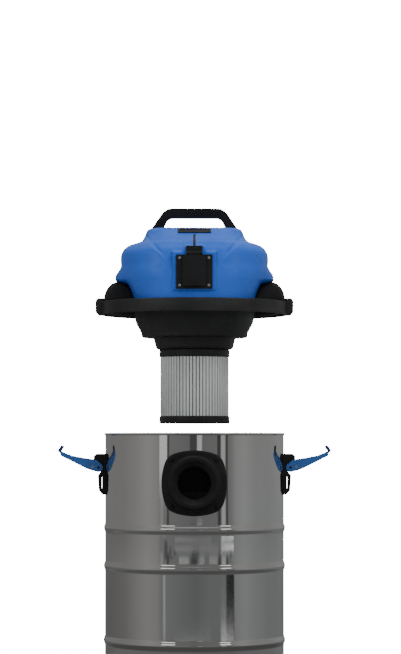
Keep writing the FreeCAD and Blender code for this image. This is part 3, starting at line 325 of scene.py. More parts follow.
# %% The shared groups
def build_grain():
    group, into, out = new_group(
        "moulded_grain", {"Scale": 900.0},
        {"Height": "NodeSocketFloat", "Tint": "NodeSocketFloat"})
    where = place(group)
    fine = noise(group, where, into.outputs["Scale"], 2.0, 0.6)
    cells = group.nodes.new("ShaderNodeTexVoronoi")
    group.links.new(where, cells.inputs["Vector"])
    group.links.new(into.outputs["Scale"], cells.inputs["Scale"])
    pits = ramp(group, cells.outputs["Distance"], 0.1, 0.7)
    height = math_node(group, "MULTIPLY", math_node(group, "ADD", fine, pits), 0.5)
    group.links.new(height, out.inputs["Height"])
    group.links.new(ramp(group, noise(group, where, 14.0, 4.0), 0.3, 0.7), out.inputs["Tint"])
    return group


def build_wear():
    group, into, out = new_group(
        "edge_wear", {"Width": 0.0012, "Amount": 1.0}, {"Mask": "NodeSocketFloat"})
    bevel = group.nodes.new("ShaderNodeBevel")
    bevel.samples = 4
    group.links.new(into.outputs["Width"], bevel.inputs["Radius"])
    flat = group.nodes.new("ShaderNodeNewGeometry")
    turned = group.nodes.new("ShaderNodeVectorMath")
    turned.operation = "DOT_PRODUCT"
    group.links.new(bevel.outputs["Normal"], turned.inputs[0])
    group.links.new(flat.outputs["Normal"], turned.inputs[1])
    edge = ramp(group, math_node(group, "SUBTRACT", 1.0, turned.outputs["Value"]), 0.02, 0.28)
    broken = ramp(group, noise(group, place(group), 160.0, 5.0, 0.65), 0.42, 0.62)
    mask = math_node(group, "MULTIPLY", math_node(group, "MULTIPLY", edge, broken),
                     into.outputs["Amount"], clamp=True)
    group.links.new(mask, out.inputs["Mask"])
    return group


def build_dust():
    group, into, out = new_group("settled_dust", {"Amount": 0.5}, {"Mask": "NodeSocketFloat"})
    coords = group.nodes.new("ShaderNodeTexCoord")
    split = group.nodes.new("ShaderNodeSeparateXYZ")
    group.links.new(coords.outputs["Normal"], split.inputs[0])
    up = ramp(group, split.outputs["Z"], 0.35, 0.95)
    patchy = ramp(group, noise(group, place(group), 26.0, 6.0, 0.62), 0.3, 0.8)
    specks = ramp(group, noise(group, place(group), 700.0, 2.0), 0.62, 0.7)
    both = math_node(group, "ADD", math_node(group, "MULTIPLY", patchy, 0.7),
                     math_node(group, "MULTIPLY", specks, 0.3))
    mask = math_node(group, "MULTIPLY", math_node(group, "MULTIPLY", up, both),
                     into.outputs["Amount"], clamp=True)
    group.links.new(mask, out.inputs["Mask"])
    return group


def build_smears():
    group, into, out = new_group(
        "hand_smears", {"Scale": 7.0}, {"Mask": "NodeSocketFloat", "Height": "NodeSocketFloat"})
    broad = noise(group, place(group, (1, 1, 0.45)), into.outputs["Scale"], 5.0, 0.6)
    fine = noise(group, place(group, (1, 1, 3.0)), 60.0, 4.0, 0.7)
    wide = math_node(group, "MULTIPLY", ramp(group, broad, 0.35, 0.7), 0.75)
    mask = math_node(group, "ADD", wide, math_node(group, "MULTIPLY", fine, 0.25))
    group.links.new(mask, out.inputs["Mask"])
    group.links.new(broad, out.inputs["Height"])
    return group


grain, wear = build_grain(), build_wear()
dust, smears = build_dust(), build_smears()
print("shared groups:", [g.name for g in (grain, wear, dust, smears)])

# %% [markdown]
# ## Materials
#
# A helper starts each material with one Principled shader and sets the numbers that are the
# same all over. Only colour, roughness and the bump change over the surface, so only they are
# linked. `layer` lays one colour over another where a mask says so.

# %% Material helpers
def start_material(name, **constants):
    material = bpy.data.materials.new(name)
    material.use_nodes = True
    tree = material.node_tree
    shader = tree.nodes["Principled BSDF"]
    for label, value in constants.items():
        shader.inputs[label.replace("_", " ")].default_value = value
    return material, tree, shader


def use(tree, group, **values):
    node = tree.nodes.new("ShaderNodeGroup")
    node.node_tree = group
    for label, value in values.items():
        node.inputs[label].default_value = value
    return node.outputs


def layer(tree, mask, under, over):
    """One colour under another, by a mask."""
    mix = tree.nodes.new("ShaderNodeMix")
    mix.data_type = "RGBA"
    tree.links.new(mask, mix.inputs["Factor"])
    for socket, value in ((mix.inputs["A"], under), (mix.inputs["B"], over)):
        if isinstance(value, tuple):
            socket.default_value = (*value, 1.0)
        else:
            tree.links.new(value, socket)
    return mix.outputs["Result"]


def bump(tree, shader, height, strength, distance, below=None):
    node = tree.nodes.new("ShaderNodeBump")
    node.inputs["Strength"].default_value = strength
    node.inputs["Distance"].default_value = distance
    tree.links.new(height, node.inputs["Height"])
    if below is not None:
        tree.links.new(below, node.inputs["Normal"])
    tree.links.new(node.outputs["Normal"], shader.inputs["Normal"])
    return node.outputs["Normal"]


def moulded(name, dark, light, worn, rough, depth=0.35, scale=900.0, wear_amount=0.6,
            dust_amount=0.25, round_edges=0.0, **constants):
    """Moulded plastic or rubber: a grain, slightly uneven colour, worn edges and dust."""
    material, tree, shader = start_material(name, **constants)
    texture = use(tree, grain, Scale=scale)
    colour = layer(tree, texture["Tint"], dark, light)
    colour = layer(tree, use(tree, wear, Amount=wear_amount)["Mask"], colour, worn)
    colour = layer(tree, use(tree, dust, Amount=dust_amount)["Mask"], colour, (0.42, 0.40, 0.37))
    tree.links.new(colour, shader.inputs["Base Color"])
    smear = use(tree, smears, Scale=11.0)
    tree.links.new(ramp(tree, smear["Mask"], 0.2, 0.9, rough - 0.06, rough + 0.1),
                   shader.inputs["Roughness"])
    below = None
    if round_edges:
        soft = tree.nodes.new("ShaderNodeBevel")
        soft.samples = 4
        soft.inputs["Radius"].default_value = round_edges
        below = soft.outputs["Normal"]
    bump(tree, shader, texture["Height"], depth, 0.0002, below)
    return material


# %% [markdown]
# ### Polished steel
#
# The drum is rolled from bright sheet, so it works like a dull mirror. What makes it look real
# is not its colour but its faults: the sheet is slightly wavy, so reflections bend, and smears
# make some places duller than others. The waves are a very weak, very broad bump.

# %% Steel
def build_steel():
    material, tree, shader = start_material("polished_steel", Metallic=1.0)
    smear = use(tree, smears, Scale=5.0)
    polished = layer(tree, smear["Mask"], (0.60, 0.60, 0.595), (0.54, 0.535, 0.53))
    # only the outside is polished: the inside is dull steel, with painted shade that darkens it
    # further down
    reach = tree.nodes.new("ShaderNodeVectorMath")
    reach.operation = "LENGTH"
    tree.links.new(place(tree, (1, 1, 0)), reach.inputs[0])
    skin = DRUM_R - SHEET / 2
    outside = ramp(tree, reach.outputs["Value"], skin - 0.00025, skin + 0.00015)
    height = tree.nodes.new("ShaderNodeSeparateXYZ")
    tree.links.new(place(tree, (1, 1, 1)), height.inputs[0])
    shade_fade_to_rim = ramp(tree, height.outputs["Z"], RIM - 0.115, RIM - 0.005)
    dull_steel_with_painted_shade = layer(tree, shade_fade_to_rim, (0.022, 0.021, 0.020), (0.36, 0.36, 0.355))
    tree.links.new(layer(tree, outside, dull_steel_with_painted_shade, polished), shader.inputs["Base Color"])
    tree.links.new(ramp(tree, smear["Mask"], 0.25, 0.95, 0.04, 0.10), shader.inputs["Roughness"])
    tree.links.new(ramp(tree, outside, 0.0, 1.0, 0.35, 1.0), shader.inputs["Metallic"])
    waves = noise(tree, place(tree, (1, 1, 0.35)), 9.0, 1.0)
    first = bump(tree, shader, waves, 0.2, 0.004)
    lines = noise(tree, place(tree, (1, 1, 60)), 70.0, 3.0, 0.6)
    bump(tree, shader, lines, 0.05, 0.0001, first)
    return material


steel = build_steel()
print("made", steel.name)

# %% [markdown]
# ### Plastics and rubbers
#
# The cover is a glossier blue than the matt levers, and the black parts have a coarser grain.
# Wear shows as a paler line on edges that hands touch.

# %% Plastics
blue = moulded("blue_cover_plastic", (0.013, 0.090, 0.45), (0.017, 0.106, 0.51),
               (0.08, 0.23, 0.62), 0.36, depth=0.10, scale=1400.0, wear_amount=0.35,
               dust_amount=0.10,
               Specular_IOR_Level=0.35, Coat_Weight=0.05)
lever_blue = moulded("blue_lever_plastic", (0.010, 0.066, 0.235), (0.015, 0.086, 0.30),
                     (0.12, 0.26, 0.50), 0.40, depth=0.2, wear_amount=0.6, dust_amount=0.1,
                     round_edges=0.0008)
black = moulded("black_plastic", (0.0065, 0.0065, 0.0068), (0.012, 0.012, 0.0122),
                (0.04, 0.04, 0.04), 0.5, depth=0.35, wear_amount=0.5, dust_amount=0.12,
                round_edges=0.0006, Specular_IOR_Level=0.22)
tray_black = moulded("black_tray_plastic", (0.011, 0.011, 0.0115), (0.018, 0.018, 0.0185),
                     (0.06, 0.06, 0.06), 0.48, depth=0.35, wear_amount=0.5, dust_amount=0.2,
                     round_edges=0.0008, Specular_IOR_Level=0.35)
black_gloss = moulded("black_switch_plastic", (0.008, 0.008, 0.009), (0.012, 0.012, 0.013),
                      (0.05, 0.05, 0.05), 0.36, depth=0.08, scale=1500.0, wear_amount=0.4,
                      dust_amount=0.06, round_edges=0.0006, Specular_IOR_Level=0.25)
navy = moulded("navy_claw_plastic", (0.008, 0.022, 0.085), (0.012, 0.032, 0.12),
               (0.06, 0.11, 0.22), 0.45, depth=0.2, wear_amount=0.5, dust_amount=0.05,
               round_edges=0.0009, Specular_IOR_Level=0.3)
gasket = moulded("sealing_rubber", (0.012, 0.012, 0.012), (0.022, 0.022, 0.022),
                 (0.06, 0.06, 0.06), 0.72, depth=0.25, wear_amount=0.2, round_edges=0.0005)
tyre = moulded("tyre_rubber", (0.02, 0.02, 0.021), (0.035, 0.034, 0.033), (0.10, 0.10, 0.095),
               0.66, depth=0.5, scale=600.0, wear_amount=0.8, dust_amount=0.5, round_edges=0.0006)
core_white = moulded("filter_core_plastic", (0.50, 0.50, 0.47), (0.60, 0.60, 0.57),
                     (0.68, 0.68, 0.66), 0.5, depth=0.2, wear_amount=0.2, round_edges=0.0005)
ball_orange = moulded("float_plastic", (0.62, 0.25, 0.05), (0.72, 0.31, 0.07), (0.8, 0.45, 0.2),
                      0.42, depth=0.2, wear_amount=0.2)
print("plastics:", blue.name, lever_blue.name, black.name, tyre.name)

# %% [markdown]
# ### Metals inside and the paper of the filter
#
# Plated screws, the cast fan housing, the sheet stack of the motor and its copper windings each
# get a pattern at their own scale: fine turning rings, cast grain, thin sheets and wound wire.

# %% Other metals and paper
def build_metal(name, colour_a, colour_b, rough, stripes, strength, metallic=1.0):
    """A metal with a striped or grainy finish. stripes is how often it repeats in X, Y, Z."""
    material, tree, shader = start_material(name, Metallic=metallic)
    pattern = noise(tree, place(tree, stripes), 1.0, 3.0, 0.6)
    colour = layer(tree, ramp(tree, pattern, 0.3, 0.7), colour_a, colour_b)
    colour = layer(tree, use(tree, wear, Amount=0.5)["Mask"], colour,
                   tuple(min(1.0, 1.35 * c) for c in colour_b))
    tree.links.new(colour, shader.inputs["Base Color"])
    tree.links.new(ramp(tree, pattern, 0.2, 0.8, rough - 0.07, rough + 0.09),
                   shader.inputs["Roughness"])
    bump(tree, shader, pattern, strength, 0.0003)
    return material


plated = build_metal("plated_screws", (0.42, 0.42, 0.41), (0.60, 0.60, 0.58), 0.30,
                     (1500, 1500, 1500), 0.15)
motor_steel = build_metal("motor_sheet_steel", (0.16, 0.16, 0.165), (0.26, 0.26, 0.26), 0.42,
                          (60, 60, 1800), 0.5)
cast = build_metal("cast_aluminium", (0.48, 0.48, 0.49), (0.60, 0.60, 0.61), 0.46,
                   (700, 700, 700), 0.35)
copper = build_metal("wound_copper", (0.50, 0.20, 0.09), (0.72, 0.34, 0.17), 0.30,
                     (80, 80, 2200), 0.7)


def build_paper():
    material, tree, shader = start_material("filter_paper", Specular_IOR_Level=0.25,
                                            Roughness=0.86)
    fibres = noise(tree, place(tree, (1, 1, 0.25)), 900.0, 4.0, 0.7)
    grey = noise(tree, place(tree, (1, 1, 0.3)), 22.0, 4.0, 0.6)
    colour = layer(tree, ramp(tree, grey, 0.3, 0.75), (0.44, 0.458, 0.445), (0.55, 0.568, 0.55))
    colour = layer(tree, ramp(tree, fibres, 0.55, 0.75), colour, (0.64, 0.655, 0.635))
    colour = layer(tree, use(tree, dust, Amount=0.3)["Mask"], colour, (0.30, 0.29, 0.27))
    tree.links.new(colour, shader.inputs["Base Color"])
    bump(tree, shader, fibres, 0.4, 0.0002)
    return material


paper = build_paper()
print("metals and paper:", plated.name, motor_steel.name, cast.name, copper.name, paper.name)

# %% [markdown]
# ## The drum
#
# The wall is one sheet with three pressed beads that stiffen it and a rolled rim. A lathe
# outline suits it: up the outside, round the roll, and down the inside. It needs many steps,
# because a mirror shows every flat. Last, a round hole is cut where the inlet's tube goes in.

# %% The drum wall
BEADS = [RIM - 0.380, RIM - 0.244, RIM - 0.174]
BEAD_BULGE, BEAD_HALF = 0.0024, 0.010
ROLL_R = 0.0023
TUBE_HOLE_R = 0.0316


def wall_side(radius, ripples=20):
    side = [(radius, FLOOR)]
    for middle in BEADS:
        for k in range(ripples + 1):
            t = 2 * k / ripples - 1
            bulge = BEAD_BULGE * (0.5 + 0.5 * math.cos(math.pi * t))
            side.append((radius + bulge, middle + BEAD_HALF * t))
    return side


def drum_outline():
    roll = []
    centre_r, centre_z = DRUM_R - SHEET / 2, RIM - ROLL_R
    for k in range(25):
        a = math.radians(-78 + k * 336 / 24)
        roll.append((centre_r + ROLL_R * math.cos(a), centre_z + ROLL_R * math.sin(a)))
    return wall_side(DRUM_R) + roll + wall_side(DRUM_R - SHEET)[::-1]


drum = lathe("drum_wall", drum_outline(), steps=288, crease=50)
cut(drum, [cutter_cylinder(TUBE_HOLE_R, (0, -0.10, INLET), (0, -0.2, INLET))])
shade(drum, 50)
dress(drum, steel, "drum", "steel", "drum_shell")

# %% [markdown]
# ## The inlet
#
# The hose plugs into a moulded housing: a plate that hugs the drum, with four bulging sides,
# and a round boss with a flared mouth. It is drawn as rings round the bore. Each ring has a
# radius for every direction and a depth, so the square plate melts into the round boss.

# %% The inlet housing
BACK_R = DRUM_R + 0.0013
MOUTH_Y = low("inlet_housing").y


def plate_edge(a):
    """How far the plate's outline is from the bore's axis in direction a."""
    c, s = abs(math.cos(a)), abs(math.sin(a))
    wide, sag = 0.113, 0.0545
    side = -sag * c + math.sqrt(wide ** 2 - (sag * s) ** 2)
    top = -sag * s + math.sqrt(wide ** 2 - (sag * c) ** 2)
    corner = 0.0935 / (c + s)
    return sum(d ** -46 for d in (side, top, corner)) ** (-1 / 46)


def on_drum(x, gap):
    """Depth of a surface that stands off the drum's wall by gap."""
    return -math.sqrt((BACK_R + gap) ** 2 - x ** 2)


def inlet_rings():
    """Each ring: a function of the direction that gives radius and depth."""
    def follow(share, inset, gap):
        def ring(a):
            r = (plate_edge(a) - inset) * share + 0.0475 * (1 - share)
            return r, on_drum(r * math.cos(a), gap)
        return ring

    def plain(radius, depth):
        return lambda a: (radius, depth)

    def fillet(radius, gap):
        return lambda a: (radius, on_drum(radius * math.cos(a), gap))

    rings = [follow(1, 0, 0.0), follow(1, 0, 0.0078), follow(1, 0.0003, 0.0089),
             follow(1, 0.0010, 0.0096), follow(1, 0.0022, 0.0100), follow(0.7, 0.0022, 0.0100),
             follow(0.4, 0.0022, 0.0100), fillet(0.0500, 0.0101), fillet(0.0484, 0.0107),
             fillet(0.0474, 0.0124), fillet(0.0470, 0.0150)]
    mouth = ((47.0, 2.5), (46.7, 1.1), (45.9, 0.3), (44.8, 0), (40.8, 0), (39.6, 0.4),
             (38.6, 1.4), (35.5, 4.2), (31.8, 7.4), (29.9, 9.2), (29.1, 10.8), (29.0, 13.0))
    rings += [plain(r * MM, MOUTH_Y + back * MM) for r, back in mouth]
    rings += [plain(0.0290, -0.1512), plain(0.0293, -0.1510), plain(0.0312, -0.1510),
              plain(0.0315, -0.1512), fillet(0.0315, 0.0), fillet(0.040, 0.0),
              fillet(0.048, 0.0)]
    return rings


def build_inlet(steps=144):
    rings, points = inlet_rings(), []
    for k in range(steps):
        a = 2 * math.pi * k / steps
        for r, y in (ring(a) for ring in rings):
            points.append((r * math.cos(a), y, INLET + r * math.sin(a)))
    return clean(new_piece("inlet_body", points, loop_faces(steps, len(rings))), 42)


inlet = build_inlet()
print("mouth at", round(MOUTH_Y, 4))

# %% [markdown]
# ## Screws, with Geometry Nodes
#
# One screw head is turned and given a cross slot. A node tree then puts a copy at each hole:
# it takes the places from a small mesh of single points, so one tree serves every set of
# screws. Its inputs are the screw, its size and the direction it faces.

# %% One screw head
def screw_head():
    dome = [(0.0, -0.10), (1.0, -0.10), (1.0, 0.18), (0.93, 0.36), (0.75, 0.52), (0.45, 0.62),
            (0.0, 0.66)]
    head = lathe("screw_head", dome, steps=28, crease=45)
    arms = []
    for wide, deep in ((0.52, 0.13), (0.13, 0.52)):
        corners = [(-wide, 0.3), (wide, 0.3), (wide, 0.9), (-wide, 0.9)]
        arms.append(block("cutter", corners, -deep, deep))
    return cut(head, arms)


def start_tree(name, first, inputs):
    """An empty geometry tree whose first input and output are both called first."""
    tree = bpy.data.node_groups.new(name, "GeometryNodeTree")
    named = ((first, "Geometry"), *inputs, ("Material", "Material"))
    for label, kind in named:
        tree.interface.new_socket(label, in_out="INPUT", socket_type="NodeSocket" + kind)
    tree.interface.new_socket(first, in_out="OUTPUT", socket_type="NodeSocketGeometry")
    return tree, tree.nodes.new, tree.links.new, tree.nodes.new("NodeGroupInput").outputs


def combine(tree, x, y, z):
    """A vector of three sockets. None leaves a zero."""
    node = tree.nodes.new("ShaderNodeCombineXYZ")
    for socket, value in zip(node.inputs, (x, y, z)):
        if value is not None:
            tree.links.new(value, socket)
    return node.outputs[0]


def copy_onto(tree, into, points, instance, turn, size=None):
    """Copy a shape onto points, make the copies real, and end the tree with the material."""
    copy = tree.nodes.new("GeometryNodeInstanceOnPoints")
    whole = tree.nodes.new("GeometryNodeRealizeInstances")
    finish = tree.nodes.new("GeometryNodeSetMaterial")
    ends = tree.nodes.new("NodeGroupOutput").inputs
    for source, target in ((points, copy.inputs["Points"]), (instance, copy.inputs["Instance"]),
                           (size, copy.inputs["Scale"]),
                           (copy.outputs["Instances"], whole.inputs["Geometry"]),
                           (whole.outputs["Geometry"], finish.inputs["Geometry"]),
                           (into["Material"], finish.inputs["Material"]),
                           (finish.outputs["Geometry"], ends[0])):
        if source is not None:
            tree.links.new(source, target)
    if isinstance(turn, tuple):
        copy.inputs["Rotation"].default_value = turn
    else:
        tree.links.new(turn, copy.inputs["Rotation"])
    return tree


def screw_tree():
    tree, new, link, into = start_tree("screws_at_points", "Screws",
                                       (("Screw", "Object"), ("Size", "Float"),
                                        ("Turn", "Rotation")))
    info = new("GeometryNodeObjectInfo")
    link(into["Screw"], info.inputs["Object"])
    size = combine(tree, into["Size"], into["Size"], into["Size"])
    return copy_onto(tree, into, into["Screws"], info.outputs["Geometry"], into["Turn"], size)


def set_input(modifier, label, value):
    """Set a node tree's input by its socket's identifier."""
    for item in modifier.node_group.interface.items_tree:
        if item.item_type == "SOCKET" and item.in_out == "INPUT" and item.name == label:
            modifier[item.identifier] = value
            return
    raise KeyError(label)


def grow(piece, tree, **inputs):
    """Run a geometry tree on a piece, with its inputs set by name, and keep the mesh."""
    tool = piece.modifiers.new("nodes", "NODES")
    tool.node_group = tree
    for label, value in inputs.items():
        set_input(tool, label.replace("_", " "), value)
    return bake_modifiers(piece)


head_shape = screw_head()
screws_tree = screw_tree()


def screws(name, places, radius, turn, material, body, slot, replaced):
    piece = grow(new_piece(name, places, []), screws_tree, Screw=head_shape, Size=radius,
                 Turn=turn, Material=material)
    shade(piece, 40)
    return dress(piece, material, body, slot, replaced)


# %% Screws of the inlet and the socket
facing_front = (math.radians(90), 0, 0)
inlet_places = [(sx * 0.040, on_drum(0.0358, 0.0100), INLET + sz * 0.042)
                for sx in (-1, 1) for sz in (-1, 1)]
screws("inlet_screw_heads", inlet_places, 0.0042, facing_front, black, "drum", "fasteners",
       "inlet_screws")
SOCKET = (low("socket_insert").z + high("socket_insert").z) / 2
FACE = low("socket_screws").y + 0.0016
socket_places = [(sx * 0.026, FACE, SOCKET + sz * 0.0245) for sx in (-1, 1) for sz in (-1, 1)]
screws("socket_screw_heads", socket_places, 0.0028, facing_front, plated, "head", "fasteners",
       "socket_screws")
dress(inlet, black, "drum", "black_plastic", "inlet_housing")

# %% [markdown]
# ## The black tray of the head
#
# The head stands on a black moulded tray: a skirt that drops over the rim, a bowl that holds
# the motor, and a throat with the filter's spigot. It is turned as one outline. The two side
# humps and the lugs that the latches grip are blocks, rounded and joined to it. The skirt's
# prouder front is turned too, and cut off at both sides.

# %% The turned tray
def up(z):
    """Height in metres from millimetres above the seat."""
    return SEAT + z * MM


def tray_outline():
    corners = [
        (173, 6.5, 1.2), (173, -17.5, 1.5), (169.5, -17.5, 1), (169.5, 3.5, 1), (158, 3.5, 1),
        (158, -14, 1), (155, -14, 1), (155, 3.5, 2), (112, 3.5, 5), (110, -29.5, 8),
        (98, -52, 5), (98, -59, 4), (76, -59, 4), (72, -77, 6), (69, -81, 4), (39, -81, 2),
        (39, -100, 1), (36, -100, 1), (36, -81, 0), (26, -81, 0.8), (26, -78, 0.8),
        (66, -78, 3), (69, -74, 3), (73, -56, 3), (95, -56, 3), (95, -52, 4), (107, -29.5, 6),
        (109, 6.5, 1)]
    return rounded([(r * MM, up(z)) for r, z, _ in corners], [c * MM for _, _, c in corners])


tray_parts = [lathe("tray", tray_outline(), steps=192, crease=35)]


# %% Side humps, lugs and the blower port
def side_parts():
    corners = ((107.5, 3.6, 0), (111, 18, 0), (115, 27, 0), (121, 35, 2), (131, 42, 7),
               (150, 41, 9), (162, 28, 8), (166, 15, 3), (166, 3.6, 0))
    hump = rounded([(x * MM, up(z)) for x, z, _ in corners], [r * MM for _, _, r in corners], 4)
    parts = [block("hump", hump, -0.055, 0.055, round_by=0.007, segments=5)]
    lug = [(x * MM, up(z)) for x, z in ((166, -17), (178.5, -17), (182.5, -13), (182.5, 8),
                                        (178.5, 13), (166, 13))]
    ear = block("lug", lug, -0.030, 0.030, round_by=0.0022, segments=3)
    recess = [(0.1705, up(-11)), (0.19, up(-11)), (0.19, up(4)), (0.1705, up(4))]
    parts.append(cut(ear, [block("cutter", recess, -0.009, 0.009),
                           cutter_cylinder(0.1702, (0, 0, up(-20)), (0, 0, up(3.4)))]))
    return parts


PORT_R, PORT_UP = 0.019, 32


def rod(radius, start, end, z):
    """A cutter along the vacuum's depth, in its middle, at height z."""
    return cutter_cylinder(radius, (0, start, z), (0, end, z))


def port_parts():
    pipe = [(PORT_R, 0.1460), (PORT_R, 0.1890), (0.0196, 0.1900), (0.0214, 0.1900),
            (0.0220, 0.1892), (0.0220, 0.1865), (0.0213, 0.1850), (0.0220, 0.1835),
            (0.0220, 0.1460)]
    tube = lathe("pipe", pipe, steps=72, crease=35)
    lie_down = Matrix.Rotation(math.radians(-90), 4, "X")
    tube.data.transform(Matrix.Translation((0, 0, up(PORT_UP))) @ lie_down)
    wall = block("riser", [(0.134, up(5.5)), (0.146, up(5.5)), (0.146, up(58)), (0.134, up(58))],
                 -0.026, 0.026, axis="X", round_by=0.002)
    cut(wall, [rod(PORT_R, 0.12, 0.16, up(PORT_UP))])
    return [tube, wall]


def front_lip():
    """The skirt's front stands a little prouder, with an end at each side."""
    outline = [(0.1722, up(-17.5)), (0.1750, up(-17.5)), (0.1752, up(-16.5)), (0.1752, up(3.5)),
               (0.1744, up(4.8)), (0.1722, up(5.6))]
    lip = lathe("lip", outline, steps=192, crease=35)
    rest = [(-0.1436, up(-30)), (0.2, up(-30)), (0.2, up(20)), (-0.1436, up(20))]
    return cut(lip, [block("cutter", rest, -0.25, 0.25, axis="X")])


tray_parts.append(front_lip())
for part in side_parts():
    tray_parts += [part, mirrored(part, part.name + "_left")]
tray_parts += port_parts()
tray = join("head_tray", tray_parts)
shade(tray, 36)
dress(tray, tray_black, "head", "black_plastic", "head_base")

# %% [markdown]
# ## The blue cover
#
# The cover is the piece that the eye goes to first, and no lathe can make it: it is square
# with round corners, it bulges, and its front carries a panel, two shoulders and a flat pad
# for the socket. So it is drawn as rings from the tray up to the deck. Each level has a half
# width, a half depth and a corner radius, joined by smooth curves. Then small rules push the
# rings in or out to press in the details.

# %% The cover's levels
LEVELS = [(6.6, 109, 162, 78), (18, 112.5, 161.6, 79), (27, 116, 161, 80), (38, 122, 160.5, 84),
          (45, 127, 160, 87), (57, 132, 158.8, 91), (67, 134, 156.8, 94), (76, 134.4, 154.3, 95),
          (84, 133.6, 151.6, 96), (95, 129.5, 147, 95), (103, 123.5, 140, 90),
          (107, 116, 136.6, 84), (109.5, 108, 134, 77), (112, 101, 129.8, 70),
          (115.5, 96.5, 124.5, 64), (121, 93, 114.8, 57), (128, 90, 102.6, 48),
          (134.5, 87.5, 91.6, 39), (137.8, 84.2, 86.2, 36), (138.9, 80.5, 82.5, 33),
          (139, 76, 78, 30)]


def smooth_through(values, t):
    """A smooth curve through values at 0, 1, 2 and so on, that never overshoots."""
    i = min(int(t), len(values) - 2)
    f = t - i

    def slope(k):
        if k <= 0 or k >= len(values) - 1:
            return 0.0
        before, after = values[k] - values[k - 1], values[k + 1] - values[k]
        return 0.0 if before * after <= 0 else 2 * before * after / (before + after)

    a, b, m0, m1 = values[i], values[i + 1], slope(i), slope(i + 1)
    return (a * (2 * f ** 3 - 3 * f ** 2 + 1) + m0 * (f ** 3 - 2 * f ** 2 + f)
            + b * (3 * f ** 2 - 2 * f ** 3) + m1 * (f ** 3 - f ** 2))


def level_at(t):
    return tuple(smooth_through([row[k] for row in LEVELS], t) for k in range(4))


def corner_reach(half_x, half_y, radius, a):
    """How far a rectangle with round corners reaches in direction a."""
    c, s = abs(math.cos(a)), abs(math.sin(a))
    if c * (half_y - radius) >= s * half_x:
        return half_x / c
    if s * (half_x - radius) >= c * half_y:
        return half_y / s
    cx, cy = half_x - radius, half_y - radius
    along = cx * c + cy * s
    return along + math.sqrt(max(0.0, along ** 2 - cx ** 2 - cy ** 2 + radius ** 2))


# %% The cover's pressed details
PAD_FACE = high("socket_plate").y / MM - 0.05
COVER_WALL = 3


def press(x, y, z):
    """Move one point, in millimetres above the seat, to press in the details."""
    side = abs(x)
    # a wing on each side, over the tray's hump
    wing = step(36, 45, z) * (1 - step(50, 72, z)) * (1 - step(48, 112, abs(y)))
    x += math.copysign(wing * min(18.5, max(0.0, 145.4 - side)), x) * (side > 60)
    # two shoulders beside a centre panel that narrows down to the socket
    edge = 58 + (z - 86) * 0.77
    shoulder = (step(edge, edge + 4.5, side) * step(45, 85, abs(y))
                * step(66, 98, z) * (1 - step(108, 117, z)))
    reach = math.hypot(x, y)
    grow = 1 + 6.5 * shoulder / max(reach, 1)
    x, y = x * grow, y * grow
    # a pressed line between the panel and each shoulder
    line = max(0.0, 1 - abs(side - edge) / 3.2) * step(84, 94, z) * (1 - step(130, 136, z))
    y -= math.copysign(2.6 * line * (abs(y) > 60), y)
    if y < 0:
        # the flat pad that carries the socket
        top = 87 + 11 * step(24, 15, side)
        pad = step(41.5, 38, side) * step(18.5, 20.5, z) * (1 - step(top, top + 6, z))
        y += (PAD_FACE - y) * pad
    return x, y, z


def cover_rings(columns=480):
    """Rings of the outside, the deck, and back down the inside."""
    rings, rows = [], []
    for i in range(len(LEVELS) - 1):
        a, b = LEVELS[i], LEVELS[i + 1]
        length = math.dist((a[0], (a[1] + a[2]) / 2), (b[0], (b[1] + b[2]) / 2))
        count = max(3, round(length / 1.7))
        rows += [i + k / count for k in range(count)]
    rows.append(len(LEVELS) - 1)
    angles = [2 * math.pi * k / columns for k in range(columns)]
    for t in rows:
        z, hx, hy, r = level_at(t)
        ring = []
        for a in angles:
            d = corner_reach(hx, hy, r, a)
            ring.append(press(d * math.cos(a), d * math.sin(a), z))
        rings.append(ring)
    deck = rings[-1]
    for share, drop in ((0.8, 0), (0.5, 0), (0.2, 0), (0.0, 0),
                        (0.0, COVER_WALL), (0.5 * 0.93, COVER_WALL), (0.93, COVER_WALL)):
        rings.append([(x * share, y * share, z - drop) for x, y, z in deck])
    for t in range(19, -1, -1):
        z, hx, hy, r = level_at(t)
        reaches = [corner_reach(hx - COVER_WALL, hy - COVER_WALL, r - COVER_WALL, a)
                   for a in angles]
        rings.append([(d * math.cos(a), d * math.sin(a), z) for d, a in zip(reaches, angles)])
    return rings


def build_cover():
    rings = cover_rings()
    points = [(x * MM, y * MM, up(z)) for ring in rings for x, y, z in ring]
    return clean(new_piece("cover_shell", points, loop_faces(len(rings), len(rings[0]))), 34)


cover = build_cover()
print("cover faces", len(cover.data.polygons))

# %% Openings in the cover
def slope_frame():
    """Middle and tilt of the sloping face under the switch."""
    lower, upper = (111.0, 123.0), (84.0, 139.0)
    middle = Vector((0, -(lower[0] + upper[0]) / 2 * MM, up((lower[1] + upper[1]) / 2)))
    return middle, math.atan2(upper[1] - lower[1], lower[0] - upper[0])


def on_slope(name, half_x, half_length, below, above):
    """A block that stands square on the sloping face, as the switch does."""
    middle, tilt = slope_frame()
    outline = [(-half_length, -below), (half_length, -below), (half_length, above),
               (-half_length, above)]
    piece = block(name, outline, -half_x, half_x, axis="X")
    piece.data.transform(Matrix.Translation(middle) @ Matrix.Rotation(tilt, 4, "X"))
    return piece


def front_bar(name, inner, outer):
    """A bar down the front of the cover, from one depth under its surface to another."""
    rows = [(100.0, 142.4)] + [(row[0], row[2]) for row in LEVELS if 100 < row[0] < 124]
    rows.append((124.4, 109.0))
    back = [(-(y - inner) * MM, up(z)) for z, y in rows]
    front = [(-(y - outer) * MM, up(z)) for z, y in rows]
    return block(name, back + front[::-1], -0.0023, 0.0023, axis="X")


